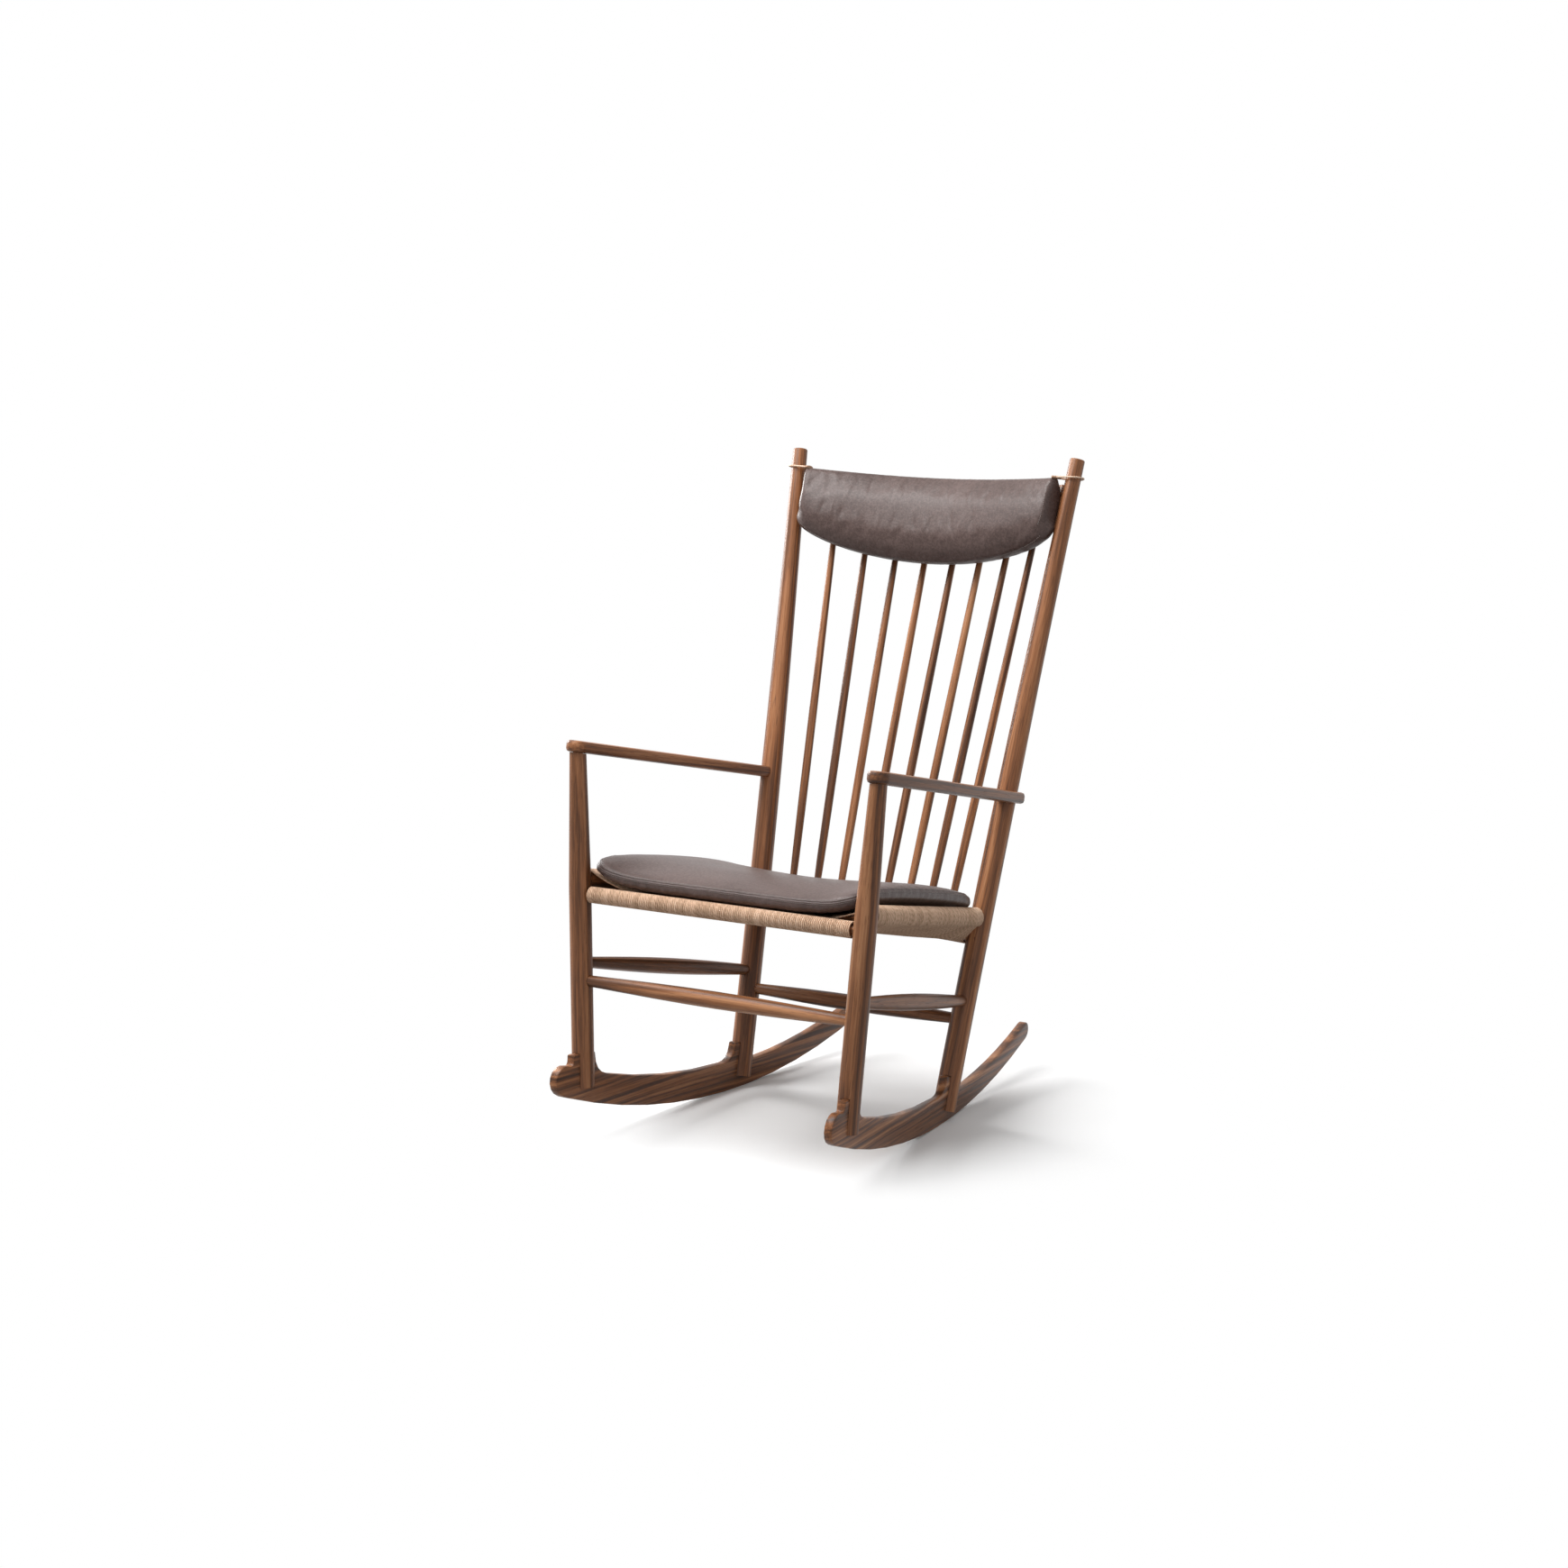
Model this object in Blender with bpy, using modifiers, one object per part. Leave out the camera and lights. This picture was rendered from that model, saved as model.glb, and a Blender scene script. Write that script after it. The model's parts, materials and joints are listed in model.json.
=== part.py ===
"""Spindle back rocking chair, modelled piece by piece at its real size.

Metres, +Z up. The chair faces -Y and stands on z = 0. Left and right are the sitter's, so left is +X.
"""
import math

import bmesh
import bpy
from mathutils import Matrix, Vector

# Clearances
GAP = 0.0003
CUSHION_REST_GAP = 0.0010
CORNER_GAP = 0.0025

# Rockers: a board bent to a wide arc, with ears that hug each leg
ROCKER_NOSE_Y = -0.4262
ROCKER_TAIL_Y = 0.3994
ROCKER_RADIUS = 1.190
ROCKER_HEIGHT = 0.050
ROCKER_BEHIND_HEIGHT = 0.0415
ROCKER_TAIL_HEIGHT = 0.0310
ROCKER_THICKNESS = 0.015
ROCKER_EDGE = 0.003
ROCKER_FACET = math.radians(3.2)
REST_Y = 0.0266
EAR_AHEAD = 0.012
EAR_BEHIND = 0.004
EAR_CORNER = 0.004
FRONT_EAR_RISE = 0.0274
FRONT_EAR_SWEEP_AHEAD = 0.012
FRONT_EAR_SWEEP_BEHIND = 0.030
BACK_EAR_RISE = 0.0214
BACK_EAR_SWEEP_AHEAD = 0.024
BACK_EAR_SWEEP_BEHIND = 0.008

# Front legs: straight, turned, forked over the rocker and tenoned into the arm
LEG_FOOT_X = 0.2398
LEG_FOOT_Y = -0.3605
LEG_HEAD_X = 0.2760
LEG_HEAD_Y = -0.3154
LEG_HEAD_Z = 0.6325
LEG_RADIUS = 0.0181
LEG_HEAD_RADIUS = 0.0132
LEG_TAPER_START_Z = 0.410
LEG_END_Z = 0.087
LEG_TENON_RADIUS = 0.008

# Back posts: long, leaning back, bowed a little inwards between foot and head
POST_FOOT_X = 0.1983
POST_FOOT_Y = 0.0374
POST_HEAD_X = 0.2695
POST_HEAD_Y = 0.3580
POST_HEAD_Z = 1.070
POST_BOW = 0.0042
POST_FOOT_RADIUS = 0.0190
POST_SEAT_RADIUS = 0.0184
POST_ARM_RADIUS = 0.0177
POST_HEAD_RADIUS = 0.0126
POST_HEAD_ROUND = 0.0025
POST_END_Z = 0.0165

# Heights where members meet the axes of legs and posts
FRONT_RAIL_Z = 0.3984
BACK_RAIL_Z = 0.2950
SIDE_RAIL_FRONT_Z = 0.4234
SIDE_RAIL_BACK_Z = 0.3265
FRONT_STRETCHER_Z = 0.2594
BACK_STRETCHER_Z = 0.1624
SIDE_STRETCHER_FRONT_Z = 0.2881
SIDE_STRETCHER_BACK_Z = 0.1917
ARM_FRONT_Z = LEG_HEAD_Z
ARM_BACK_Z = 0.5213
CREST_BELOW_HEAD = 0.0760
CREST_Z = POST_HEAD_Z - CREST_BELOW_HEAD
LOOP_BELOW_HEAD = 0.0312

# Turned members between legs
TENON_PAST_AXIS = 0.006
STRETCHER_END_RADIUS = 0.0092
STRETCHER_MIDDLE_RADIUS = 0.0136
RAIL_RADIUS = 0.0100
RAIL_TENON_RADIUS = 0.0075
SIDE_RAIL_HEIGHT_RATIO = 1.25
BACK_RAIL_BOW = 0.0253
BACK_RAIL_FORWARD = 0.0100

# Woven seat, a saddle that is high at the sides and rolls round the rails
SEAT_ROLL = 0.0135
SEAT_SIDE_ROLL = 0.0165
SEAT_EDGE_ROUND = 0.0118

# Armrests: flat paddles on the front legs, notched round the posts
ARM_WIDTH = 0.037
ARM_THICKNESS = 0.019
ARM_EDGE = 0.0055
ARM_END_CORNER = 0.010
ARM_PAST_POST = 0.0215
ARM_OUTSIDE_POST = 0.0095
ARM_TENON_COVER = 0.004
ARM_DOWEL_RADIUS = 0.004
ARM_DOWEL_COVER = 0.004
ARM_DOWEL_DEPTH = 0.010

# Crest rail: a bent slat tenoned into the posts
BACK_LEAN = math.radians(20.8)
CREST_BOW = 0.0767
CREST_HEIGHT = 0.076
CREST_THICKNESS = 0.014
CREST_TENON_THICKNESS = 0.010
CREST_TENON_DEPTH = 0.009
CREST_EDGE = 0.002

# Spindles
SPINDLE_COUNT = 8
SPINDLE_PITCH_BOTTOM = 0.0434
SPINDLE_PITCH_TOP = 0.0559
SPINDLE_END_RADIUS = 0.0052
SPINDLE_SWELL_RADIUS = 0.0073
SPINDLE_SWELL_PLACE = 0.35
SPINDLE_TOP_DEPTH = 0.020
SPINDLE_BOTTOM_DEPTH = 0.005

# Seat cushion, with a sewn edge that keeps its sides upright
CUSHION_BOXED = 0.7
CUSHION_PAST_FRONT_RAIL = 0.0033
CUSHION_SHORT_OF_BACK_RAIL = 0.0285
CUSHION_PAST_LEGS = 0.0020
CUSHION_PAST_POSTS = 0.0195
CUSHION_CROWN = 0.048
CUSHION_RIM = 0.024
CUSHION_SIDE_ARCH = 0.008
CUSHION_DRAW_IN = 0.003
CUSHION_CORNER_PULL = 0.040

# Neck cushion, half-moon shaped, hung from the post heads by two loops
NECK_RISE = 0.0477
NECK_STAND_OFF = 0.0025
NECK_POST_GAP = 0.0070
NECK_HEIGHT = 0.152
NECK_END_HEIGHT = 0.093
NECK_END_FALL = 0.0095
NECK_BEND = 0.8225
NECK_CROWN = 0.066
NECK_RIM = 0.014
NECK_END_FILL = 0.30
LOOP_TUBE_RADIUS = 0.0016
LOOP_SLACK = 0.0024
LOOP_END_RADIUS = 0.0035
LOOP_SEWN_PLACE = 0.93
LOOP_SEAM_RISE = 0.0020

# Facets
TURNED_SIDES = 20
ROD_SIDES = 12
FACET_RINGS = 9

SIDES = {"left": 1, "right": -1}
WALNUT = (0.245, 0.122, 0.066)
OLD_WALNUT = (0.205, 0.100, 0.054)
LEATHER = (0.105, 0.078, 0.070)
CORD = (0.560, 0.400, 0.260)
LACE = (0.690, 0.530, 0.410)
LEG_FOOT = Vector((LEG_FOOT_X, LEG_FOOT_Y, 0.0))
LEG_HEAD = Vector((LEG_HEAD_X, LEG_HEAD_Y, LEG_HEAD_Z))
POST_FOOT = Vector((POST_FOOT_X, POST_FOOT_Y, 0.0))
POST_HEAD = Vector((POST_HEAD_X, POST_HEAD_Y, POST_HEAD_Z))
UP = Vector((0.0, 0.0, 1.0))
ACROSS = Vector((1.0, 0.0, 0.0))


def collection(name):
    """Make a collection in the scene."""
    group = bpy.data.collections.new(name)
    bpy.context.scene.collection.children.link(group)
    return group


def clear_scene():
    """Remove every object that the opened file holds."""
    for item in list(bpy.data.objects):
        bpy.data.objects.remove(item, do_unlink=True)


def finish(name, colour, roughness):
    """Make a Principled material with a colour and a roughness."""
    material = bpy.data.materials.new(name)
    material.use_nodes = True
    shader = material.node_tree.nodes["Principled BSDF"]
    shader.inputs["Base Color"].default_value = (*colour, 1.0)
    shader.inputs["Roughness"].default_value = roughness
    shader.inputs["Metallic"].default_value = 0.0
    return material


class Workshop:
    """Holds the collections and adds pieces and cutters to them."""

    def __init__(self):
        self.parts = collection("rocking_chair")
        self.cutters = collection("rocking_chair_cutters")

    def piece(self, name, mesh, colour=WALNUT, roughness=0.5):
        """Add a visible piece with its own material."""
        body = bpy.data.objects.new(name, mesh)
        mesh.materials.append(finish(name + "_finish", colour, roughness))
        mesh.shade_smooth()
        mesh.set_sharp_from_angle(angle=math.radians(35))
        self.parts.objects.link(body)
        return body

    def cutter(self, name, mesh):
        """Add a hidden cutting shape."""
        body = bpy.data.objects.new(name, mesh)
        body.hide_render = True
        body.display_type = "WIRE"
        self.cutters.objects.link(body)
        return body

    def cut(self, body, name, mesh, bent=False):
        """Cut a mesh out of a piece. The faces of a bent tool are also tested against each other."""
        tool = self.cutter(name, mesh)
        modifier = body.modifiers.new(name, "BOOLEAN")
        modifier.operation = "DIFFERENCE"
        modifier.solver = "EXACT"
        modifier.use_self = bent
        modifier.object = tool
        return tool


def realised(data, name):
    """Turn an object's data into a welded mesh with its modifiers applied."""
    guide = bpy.data.objects.new(name + "_guide", data)
    bpy.context.scene.collection.objects.link(guide)
    return realised_object(guide, name)


def realised_object(guide, name):
    """Turn a guide object into a welded mesh and remove the guide."""
    graph = bpy.context.evaluated_depsgraph_get()
    mesh = bpy.data.meshes.new_from_object(guide.evaluated_get(graph))
    mesh.name = name
    bpy.data.objects.remove(guide, do_unlink=True)
    shape = bmesh.new()
    shape.from_mesh(mesh)
    bmesh.ops.remove_doubles(shape, verts=shape.verts, dist=1e-6)
    bmesh.ops.recalc_face_normals(shape, faces=shape.faces)
    shape.to_mesh(mesh)
    shape.free()
    return mesh


def turned(name, profile, start, end, sides=TURNED_SIDES, section=Matrix.Identity(4)):
    """Turn a profile of (distance from start, radius) about the line from start to end."""
    outer = [(radius, distance) for distance, radius in reversed(profile)]
    points = [(0.0, outer[0][1]), *outer, (0.0, outer[-1][1])]
    shape = bpy.data.meshes.new(name + "_profile")
    edges = [(index, index + 1) for index in range(len(points) - 1)]
    shape.from_pydata([(across, 0.0, along) for across, along in points], edges, [])
    guide = bpy.data.objects.new(name + "_guide", shape)
    bpy.context.scene.collection.objects.link(guide)
    screw = guide.modifiers.new("turn", "SCREW")
    screw.steps = sides
    screw.render_steps = sides
    screw.use_merge_vertices = True
    screw.merge_threshold = 0.00001
    mesh = realised_object(guide, name)
    turn = (end - start).to_track_quat("Z", "Y").to_matrix().to_4x4()
    mesh.transform(Matrix.Translation(start) @ turn @ section)
    return mesh


def rod(name, start, end, radius, sides=TURNED_SIDES):
    """A plain round rod from start to end."""
    length = (end - start).length
    return turned(name, [(0.0, radius), (length, radius)], start, end, sides)


def swept(name, stations, sides=TURNED_SIDES, cyclic=False):
    """A tube through stations of (place, radius)."""
    path = bpy.data.curves.new(name + "_path", "CURVE")
    path.dimensions = "3D"
    path.bevel_depth = 1.0
    path.bevel_resolution = sides // 2 - 2
    path.use_fill_caps = True
    spline = path.splines.new("POLY")
    spline.points.add(len(stations) - 1)
    for point, (place, radius) in zip(spline.points, stations):
        point.co = (*place, 1.0)
        point.radius = radius
    spline.use_cyclic_u = cyclic
    return realised(path, name)


def plate(name, outline, thickness, edge=0.0):
    """A flat outline in the XY plane, given a thickness along Z and rounded edges."""
    path = bpy.data.curves.new(name + "_outline", "CURVE")
    path.dimensions = "2D"
    path.fill_mode = "BOTH"
    path.extrude = thickness / 2 - edge
    path.bevel_depth = edge
    path.bevel_resolution = 1
    path.offset = -edge
    spline = path.splines.new("POLY")
    spline.points.add(len(outline) - 1)
    for point, (across, along) in zip(spline.points, outline):
        point.co = (across, along, 0.0, 1.0)
    spline.use_cyclic_u = True
    return realised(path, name)


def spread(first, last, count):
    """Evenly spaced values from first to last."""
    return [first + (last - first) * index / (count - 1) for index in range(count)]


def bend(start, corner, end, count=5):
    """Points of a smooth bend that leaves start towards corner and arrives at end."""
    points = []
    for share in spread(0.0, 1.0, count):
        near = start.lerp(corner, share)
        points.append(near.lerp(corner.lerp(end, share), share))
    return points


def mirrored(place, side):
    """A point of the left half, on the side asked for."""
    return Vector((place.x * side, place.y, place.z))


def leg_point(side, height):
    """Point on a front leg's axis."""
    share = (height - LEG_FOOT.z) / (LEG_HEAD.z - LEG_FOOT.z)
    return mirrored(LEG_FOOT.lerp(LEG_HEAD, share), side)


def post_point(side, height):
    """Point on a back post's axis, which bows between foot and head."""
    share = (height - POST_FOOT.z) / (POST_HEAD.z - POST_FOOT.z)
    place = POST_FOOT.lerp(POST_HEAD, share)
    place.x -= POST_BOW * 4.0 * share * (1.0 - share)
    return mirrored(place, side)


def leg_radius(height):
    """Radius of a front leg, straight below the seat and tapering above it."""
    share = (height - LEG_TAPER_START_Z) / (LEG_HEAD.z - LEG_TAPER_START_Z)
    return LEG_RADIUS + (LEG_HEAD_RADIUS - LEG_RADIUS) * min(max(share, 0.0), 1.0)


def post_radius(height):
    """Radius of a back post, a slow taper from foot to head."""
    knots = [(POST_FOOT.z, POST_FOOT_RADIUS), (SIDE_RAIL_BACK_Z, POST_SEAT_RADIUS),
             (ARM_BACK_Z, POST_ARM_RADIUS), (POST_HEAD.z, POST_HEAD_RADIUS)]
    for (low, low_radius), (high, high_radius) in zip(knots, knots[1:]):
        if height <= high:
            return low_radius + (high_radius - low_radius) * (height - low) / (high - low)
    return POST_HEAD_RADIUS


def rocker_shear(side):
    """Matrix from a plate drawn in (y, z) to the leaning, toed-in rocker board on one side."""
    front = leg_point(side, front_ear_z())
    back = post_point(side, back_ear_z())
    lean = (leg_point(side, LEG_TAPER_START_Z).x - front.x) / (LEG_TAPER_START_Z - front.z)
    toe = (back.x - front.x - lean * (back.z - front.z)) / (back.y - front.y)
    offset = front.x - toe * front.y - lean * front.z
    return Matrix(((toe, lean, 1.0, offset), (1.0, 0.0, 0.0, 0.0), (0.0, 1.0, 0.0, 0.0),
                   (0.0, 0.0, 0.0, 1.0)))


def arc_centre():
    """Centre of the rocker's arc in (y, z), set so that its lowest facet lies on z = 0."""
    return Vector((REST_Y, ROCKER_RADIUS * math.cos(ROCKER_FACET / 2)))


def upper_edge_z(place_y):
    """Height of the rocker's upper edge at a place along the chair."""
    centre = arc_centre()
    return centre.y - math.sqrt((ROCKER_RADIUS - ROCKER_HEIGHT) ** 2 - (place_y - centre.x) ** 2)


def front_ear_z():
    """Height of the ears' tops at a front leg's axis."""
    return upper_edge_z(leg_point(1, LEG_END_Z).y) + FRONT_EAR_RISE


def back_ear_z():
    """Height of the ears' tops at a back post's axis."""
    return upper_edge_z(post_point(1, POST_END_Z).y) + BACK_EAR_RISE


def on_arc(radius, angle):
    """Point of a rocker arc, with the angle counted from straight down towards the back."""
    return arc_centre() + radius * Vector((math.sin(angle), -math.cos(angle)))


def end_angle(tip_y, height):
    """Arc angle of the centre of a rocker's round end whose tip reaches tip_y."""
    inward = math.copysign(height / 2, -tip_y)
    return math.asin((tip_y + inward - REST_Y) / (ROCKER_RADIUS - height / 2))


def nose_angle():
    """Arc angle where the rocker's nose begins to round."""
    return end_angle(ROCKER_NOSE_Y, ROCKER_HEIGHT)


def tail_angle():
    """Arc angle where the rocker's tail begins to round."""
    return end_angle(ROCKER_TAIL_Y, ROCKER_TAIL_HEIGHT)


def round_end(angle, outward, height):
    """Half circle that closes a rocker's end, from its lower to its upper edge."""
    centre = on_arc(ROCKER_RADIUS - height / 2, angle)
    radial = Vector((math.sin(angle), -math.cos(angle)))
    along = outward * Vector((math.cos(angle), math.sin(angle)))
    turns = spread(0.0, math.pi, 9)[1:-1]
    return [centre + height / 2 * (math.cos(turn) * radial + math.sin(turn) * along) for turn in turns]


def ear(axis_point, low_z, ear_z, radius, sweep_ahead, sweep_behind, height_behind):
    """Outline of the ears round one leg, from behind it to ahead of it, inside the board's round ends."""
    top_axis = axis_point(1, ear_z)
    low_axis = axis_point(1, low_z)
    down = Vector((low_axis.y - top_axis.y, low_axis.z - top_axis.z)).normalized()
    back = Vector((-down.y, down.x))
    top_middle = Vector((top_axis.y, top_axis.z))
    centre = arc_centre()
    points = []
    for order in (1, -1):
        reach = radius + EAR_BEHIND if order > 0 else -radius - EAR_AHEAD
        sweep = sweep_behind if order > 0 else sweep_ahead
        inner = ROCKER_RADIUS - (height_behind if order > 0 else ROCKER_HEIGHT)
        top = top_middle + back * reach
        offset = top - centre
        run = -offset.dot(down) + math.sqrt(offset.dot(down) ** 2 - offset.length_squared + inner ** 2)
        corner = top + down * run
        turn = angle_of(corner) + order * sweep / inner
        turn = min(max(turn, nose_angle()), tail_angle())
        inward = top - back * (order * EAR_CORNER)
        side = bend(on_arc(inner, turn), corner, corner - down * min(sweep, run - EAR_CORNER - GAP))
        side += bend(top + down * EAR_CORNER, top, inward, 3)
        points += side if order > 0 else list(reversed(side))
    return points


def arc_span(radius, first, last, step):
    """Points strictly between two arc angles, in steps of about the size asked for."""
    count = max(int(abs(last - first) / step), 1)
    return [on_arc(radius, angle) for angle in spread(first, last, count + 1)[1:-1]]


def angle_of(point):
    """Arc angle of a point of the rocker."""
    centre = arc_centre()
    return math.atan2(point.x - centre.x, centre.y - point.y)


def rocker_outline():
    """Outline of a rocker in (y, z): lower arc, tail, upper arc with both ears, nose."""
    nose = nose_angle()
    tail = tail_angle()
    inner = ROCKER_RADIUS - ROCKER_HEIGHT
    first = math.ceil(nose / ROCKER_FACET - 0.5)
    last = math.floor(tail / ROCKER_FACET - 0.5)
    lower = [on_arc(ROCKER_RADIUS, (index + 0.5) * ROCKER_FACET) for index in range(first, last + 1)]
    back_ear = ear(post_point, POST_END_Z, back_ear_z(), post_radius(back_ear_z()),
                   BACK_EAR_SWEEP_AHEAD, BACK_EAR_SWEEP_BEHIND, ROCKER_BEHIND_HEIGHT)
    front_ear = ear(leg_point, LEG_END_Z, front_ear_z(), leg_radius(front_ear_z()),
                    FRONT_EAR_SWEEP_AHEAD, FRONT_EAR_SWEEP_BEHIND, ROCKER_HEIGHT)
    outline = [on_arc(ROCKER_RADIUS, nose), *lower, on_arc(ROCKER_RADIUS, tail)]
    outline += [*round_end(tail, 1.0, ROCKER_TAIL_HEIGHT), *tail_top(tail, angle_of(back_ear[0])), *back_ear]
    outline += [*arc_span(inner, angle_of(back_ear[-1]), angle_of(front_ear[0]), ROCKER_FACET), *front_ear]
    outline += arc_span(inner, angle_of(front_ear[-1]), nose, ROCKER_FACET)
    outline += reversed(round_end(nose, -1.0, ROCKER_HEIGHT))
    return outline


def tail_top(tail, ear_angle):
    """Upper edge of the tail, from its tip to the back ear, with the board growing deeper."""
    points = []
    for share in spread(0.0, 1.0, 7)[:-1]:
        height = ROCKER_TAIL_HEIGHT + (ROCKER_BEHIND_HEIGHT - ROCKER_TAIL_HEIGHT) * share
        points.append(on_arc(ROCKER_RADIUS - height, tail + (ear_angle - tail) * share))
    return points


def rocker_slot(name, side, axis_point, radius, end_z, ear_z):
    """The slot that a leg's fork leaves for the rocker, open below."""
    centre = axis_point(side, ear_z)
    top = ear_z + GAP
    lean = axis_point(side, ear_z).y - axis_point(side, end_z).y
    tilt = math.atan2(lean, ear_z - end_z)
    reach = 2.0 * radius
    rise = reach * math.tan(tilt)
    low = end_z - 2.0 * radius
    outline = [(centre.y - reach, low), (centre.y + reach, low),
               (centre.y + reach, top - rise), (centre.y - reach, top + rise)]
    mesh = plate(name, outline, ROCKER_THICKNESS + 2.0 * GAP)
    mesh.transform(rocker_shear(side))
    return mesh


def arm_frame(side):
    """Matrix of an armrest: X across it, Y along it to the back, Z out of its top; and its length."""
    front = leg_point(side, ARM_FRONT_Z)
    back = post_point(side, ARM_BACK_Z) + ACROSS * side * ARM_OUTSIDE_POST
    along = (back - front).normalized()
    across = along.cross(UP).normalized()
    top = across.cross(along)
    frame = Matrix((across, along, top)).transposed().to_4x4()
    return Matrix.Translation(front) @ frame, (back - front).length


def member_ends(start, end):
    """Ends of a member between two axes, run a little past each axis."""
    along = (end - start).normalized()
    return start - along * TENON_PAST_AXIS, end + along * TENON_PAST_AXIS


def mortise(shop, body, name, inside, outside, radius, section=Matrix.Identity(4), sides=TURNED_SIDES):
    """Blind round hole for a tenon that ends at inside and comes in from outside."""
    along = (outside - inside).normalized()
    start = inside - along * GAP
    length = LEG_RADIUS * 3.0
    profile = [(0.0, radius + GAP), (length, radius + GAP)]
    mesh = turned(name, profile, start, start + along * length, sides, section)
    shop.cut(body, name, mesh)


def crest_frame():
    """Matrix of the crest rail: X across, Y along its bow to the back, Z up the lean of the back."""
    lean = Vector((0.0, math.sin(BACK_LEAN), math.cos(BACK_LEAN)))
    back = Vector((0.0, math.cos(BACK_LEAN), -math.sin(BACK_LEAN)))
    end = post_point(1, CREST_Z)
    frame = Matrix((ACROSS, back, lean)).transposed().to_4x4()
    return Matrix.Translation(Vector((0.0, end.y, end.z))) @ frame


def crest_radius():
    """Radius of the crest rail's bow, through both post axes and the bow's middle."""
    half = post_point(1, CREST_Z).x
    return (half ** 2 + CREST_BOW ** 2) / (2.0 * CREST_BOW)


def crest_point(across, up=0.0):
    """Point of the crest rail's middle surface, by its place across the chair."""
    radius = crest_radius()
    bow = CREST_BOW - radius + math.sqrt(radius ** 2 - across ** 2)
    return crest_frame() @ Vector((across, bow, up))


def crest_outline(grow):
    """Plan of the crest rail: a bent slat whose ends thin down to tenons."""
    radius = crest_radius()
    half = post_point(1, CREST_Z).x
    shoulder = math.asin((half - post_radius(CREST_Z) - GAP) / radius)
    tip = math.asin((half - post_radius(CREST_Z) + CREST_TENON_DEPTH + grow) / radius)
    thick = CREST_THICKNESS / 2 + grow
    thin = CREST_TENON_THICKNESS / 2 + grow
    turns = spread(-shoulder, shoulder, 13)

    def arc(offset, angles):
        reach = radius + offset
        return [(reach * math.sin(angle), CREST_BOW - radius + reach * math.cos(angle)) for angle in angles]

    back = arc(thin, [-tip, -shoulder]) + arc(thick, turns) + arc(thin, [shoulder, tip])
    front = arc(-thin, [tip, shoulder]) + arc(-thick, list(reversed(turns))) + arc(-thin, [-shoulder, -tip])
    return back + front


def crest_mesh(name, grow=0.0):
    """The crest rail's solid, grown on every side for its mortises."""
    mesh = plate(name, crest_outline(grow), CREST_HEIGHT + 2.0 * grow, 0.0 if grow else CREST_EDGE)
    mesh.transform(crest_frame())
    return mesh


def back_rail_point(across):
    """Point on the bowed back rail's axis."""
    end = post_point(1, BACK_RAIL_Z)
    bow = BACK_RAIL_BOW * (1.0 - (across / end.x) ** 2)
    return Vector((across, end.y - BACK_RAIL_FORWARD + bow, BACK_RAIL_Z))


def back_rail_mesh(name, grow=0.0):
    """The back rail: a bowed round bar with thinner tenons."""
    end = post_point(1, BACK_RAIL_Z).x
    shoulder = end - post_radius(BACK_RAIL_Z) - CORNER_GAP
    tip = end + TENON_PAST_AXIS + grow
    tenon = RAIL_TENON_RADIUS + grow
    body = RAIL_RADIUS + grow
    inner = [(back_rail_point(across), body) for across in spread(-shoulder, shoulder, FACET_RINGS)]
    stations = [(back_rail_point(-tip), tenon), (back_rail_point(-shoulder - GAP), tenon), *inner,
                (back_rail_point(shoulder + GAP), tenon), (back_rail_point(tip), tenon)]
    return swept(name, stations)


def oval_section():
    """Section of a side rail, taller than it is wide. Its local Y stands up."""
    return Matrix.Diagonal((1.0, SIDE_RAIL_HEIGHT_RATIO, 1.0, 1.0))


def rail_mesh(name, start, end, near_radius, far_radius, section=Matrix.Identity(4), grow=0.0):
    """A straight seat rail between two leg axes, with thinner tenons at its ends."""
    first, last = member_ends(start, end)
    length = (last - first).length
    near = TENON_PAST_AXIS + near_radius + CORNER_GAP
    far = length - TENON_PAST_AXIS - far_radius - CORNER_GAP
    body = RAIL_RADIUS + grow
    tenon = RAIL_TENON_RADIUS + grow
    profile = [(-grow, tenon), (near, tenon), (near, body)]
    profile += [(far, body), (far, tenon), (length + grow, tenon)]
    return turned(name, profile, first, last, section=section)


def front_rail_mesh(name, grow=0.0):
    """The front seat rail."""
    radius = leg_radius(FRONT_RAIL_Z)
    start = leg_point(-1, FRONT_RAIL_Z)
    return rail_mesh(name, start, leg_point(1, FRONT_RAIL_Z), radius, radius, grow=grow)


def side_rail_mesh(name, side, grow=0.0):
    """A side seat rail, oval, from a front leg to a back post."""
    start = leg_point(side, SIDE_RAIL_FRONT_Z)
    end = post_point(side, SIDE_RAIL_BACK_Z)
    return rail_mesh(name, start, end, leg_radius(start.z), post_radius(end.z), oval_section(), grow)


def cigar(length, end_radius, middle_radius, peak=0.5):
    """Profile that swells between its ends, thickest at the peak's share of the length."""
    power = math.log(0.5) / math.log(peak)
    profile = []
    for share in spread(0.0, 1.0, FACET_RINGS):
        swell = math.sin(math.pi * share ** power)
        profile.append((share * length, end_radius + (middle_radius - end_radius) * swell))
    return profile


def spindle_ends(index):
    """Both ends of a spindle, counted from the right."""
    place = index - (SPINDLE_COUNT - 1) / 2
    bottom = back_rail_point(place * SPINDLE_PITCH_BOTTOM)
    top = crest_point(place * SPINDLE_PITCH_TOP, -CREST_HEIGHT / 2)
    along = (top - bottom).normalized()
    return bottom - along * SPINDLE_BOTTOM_DEPTH, top + along * SPINDLE_TOP_DEPTH


def seat_half_width(along_y):
    """Half the woven seat's width, to the outside of its side rolls, at a place along the chair."""
    front = leg_point(1, SIDE_RAIL_FRONT_Z)
    back = post_point(1, SIDE_RAIL_BACK_Z)
    share = (along_y - front.y) / (back.y - front.y)
    return front.x + (back.x - front.x) * share + SEAT_ROLL


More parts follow.
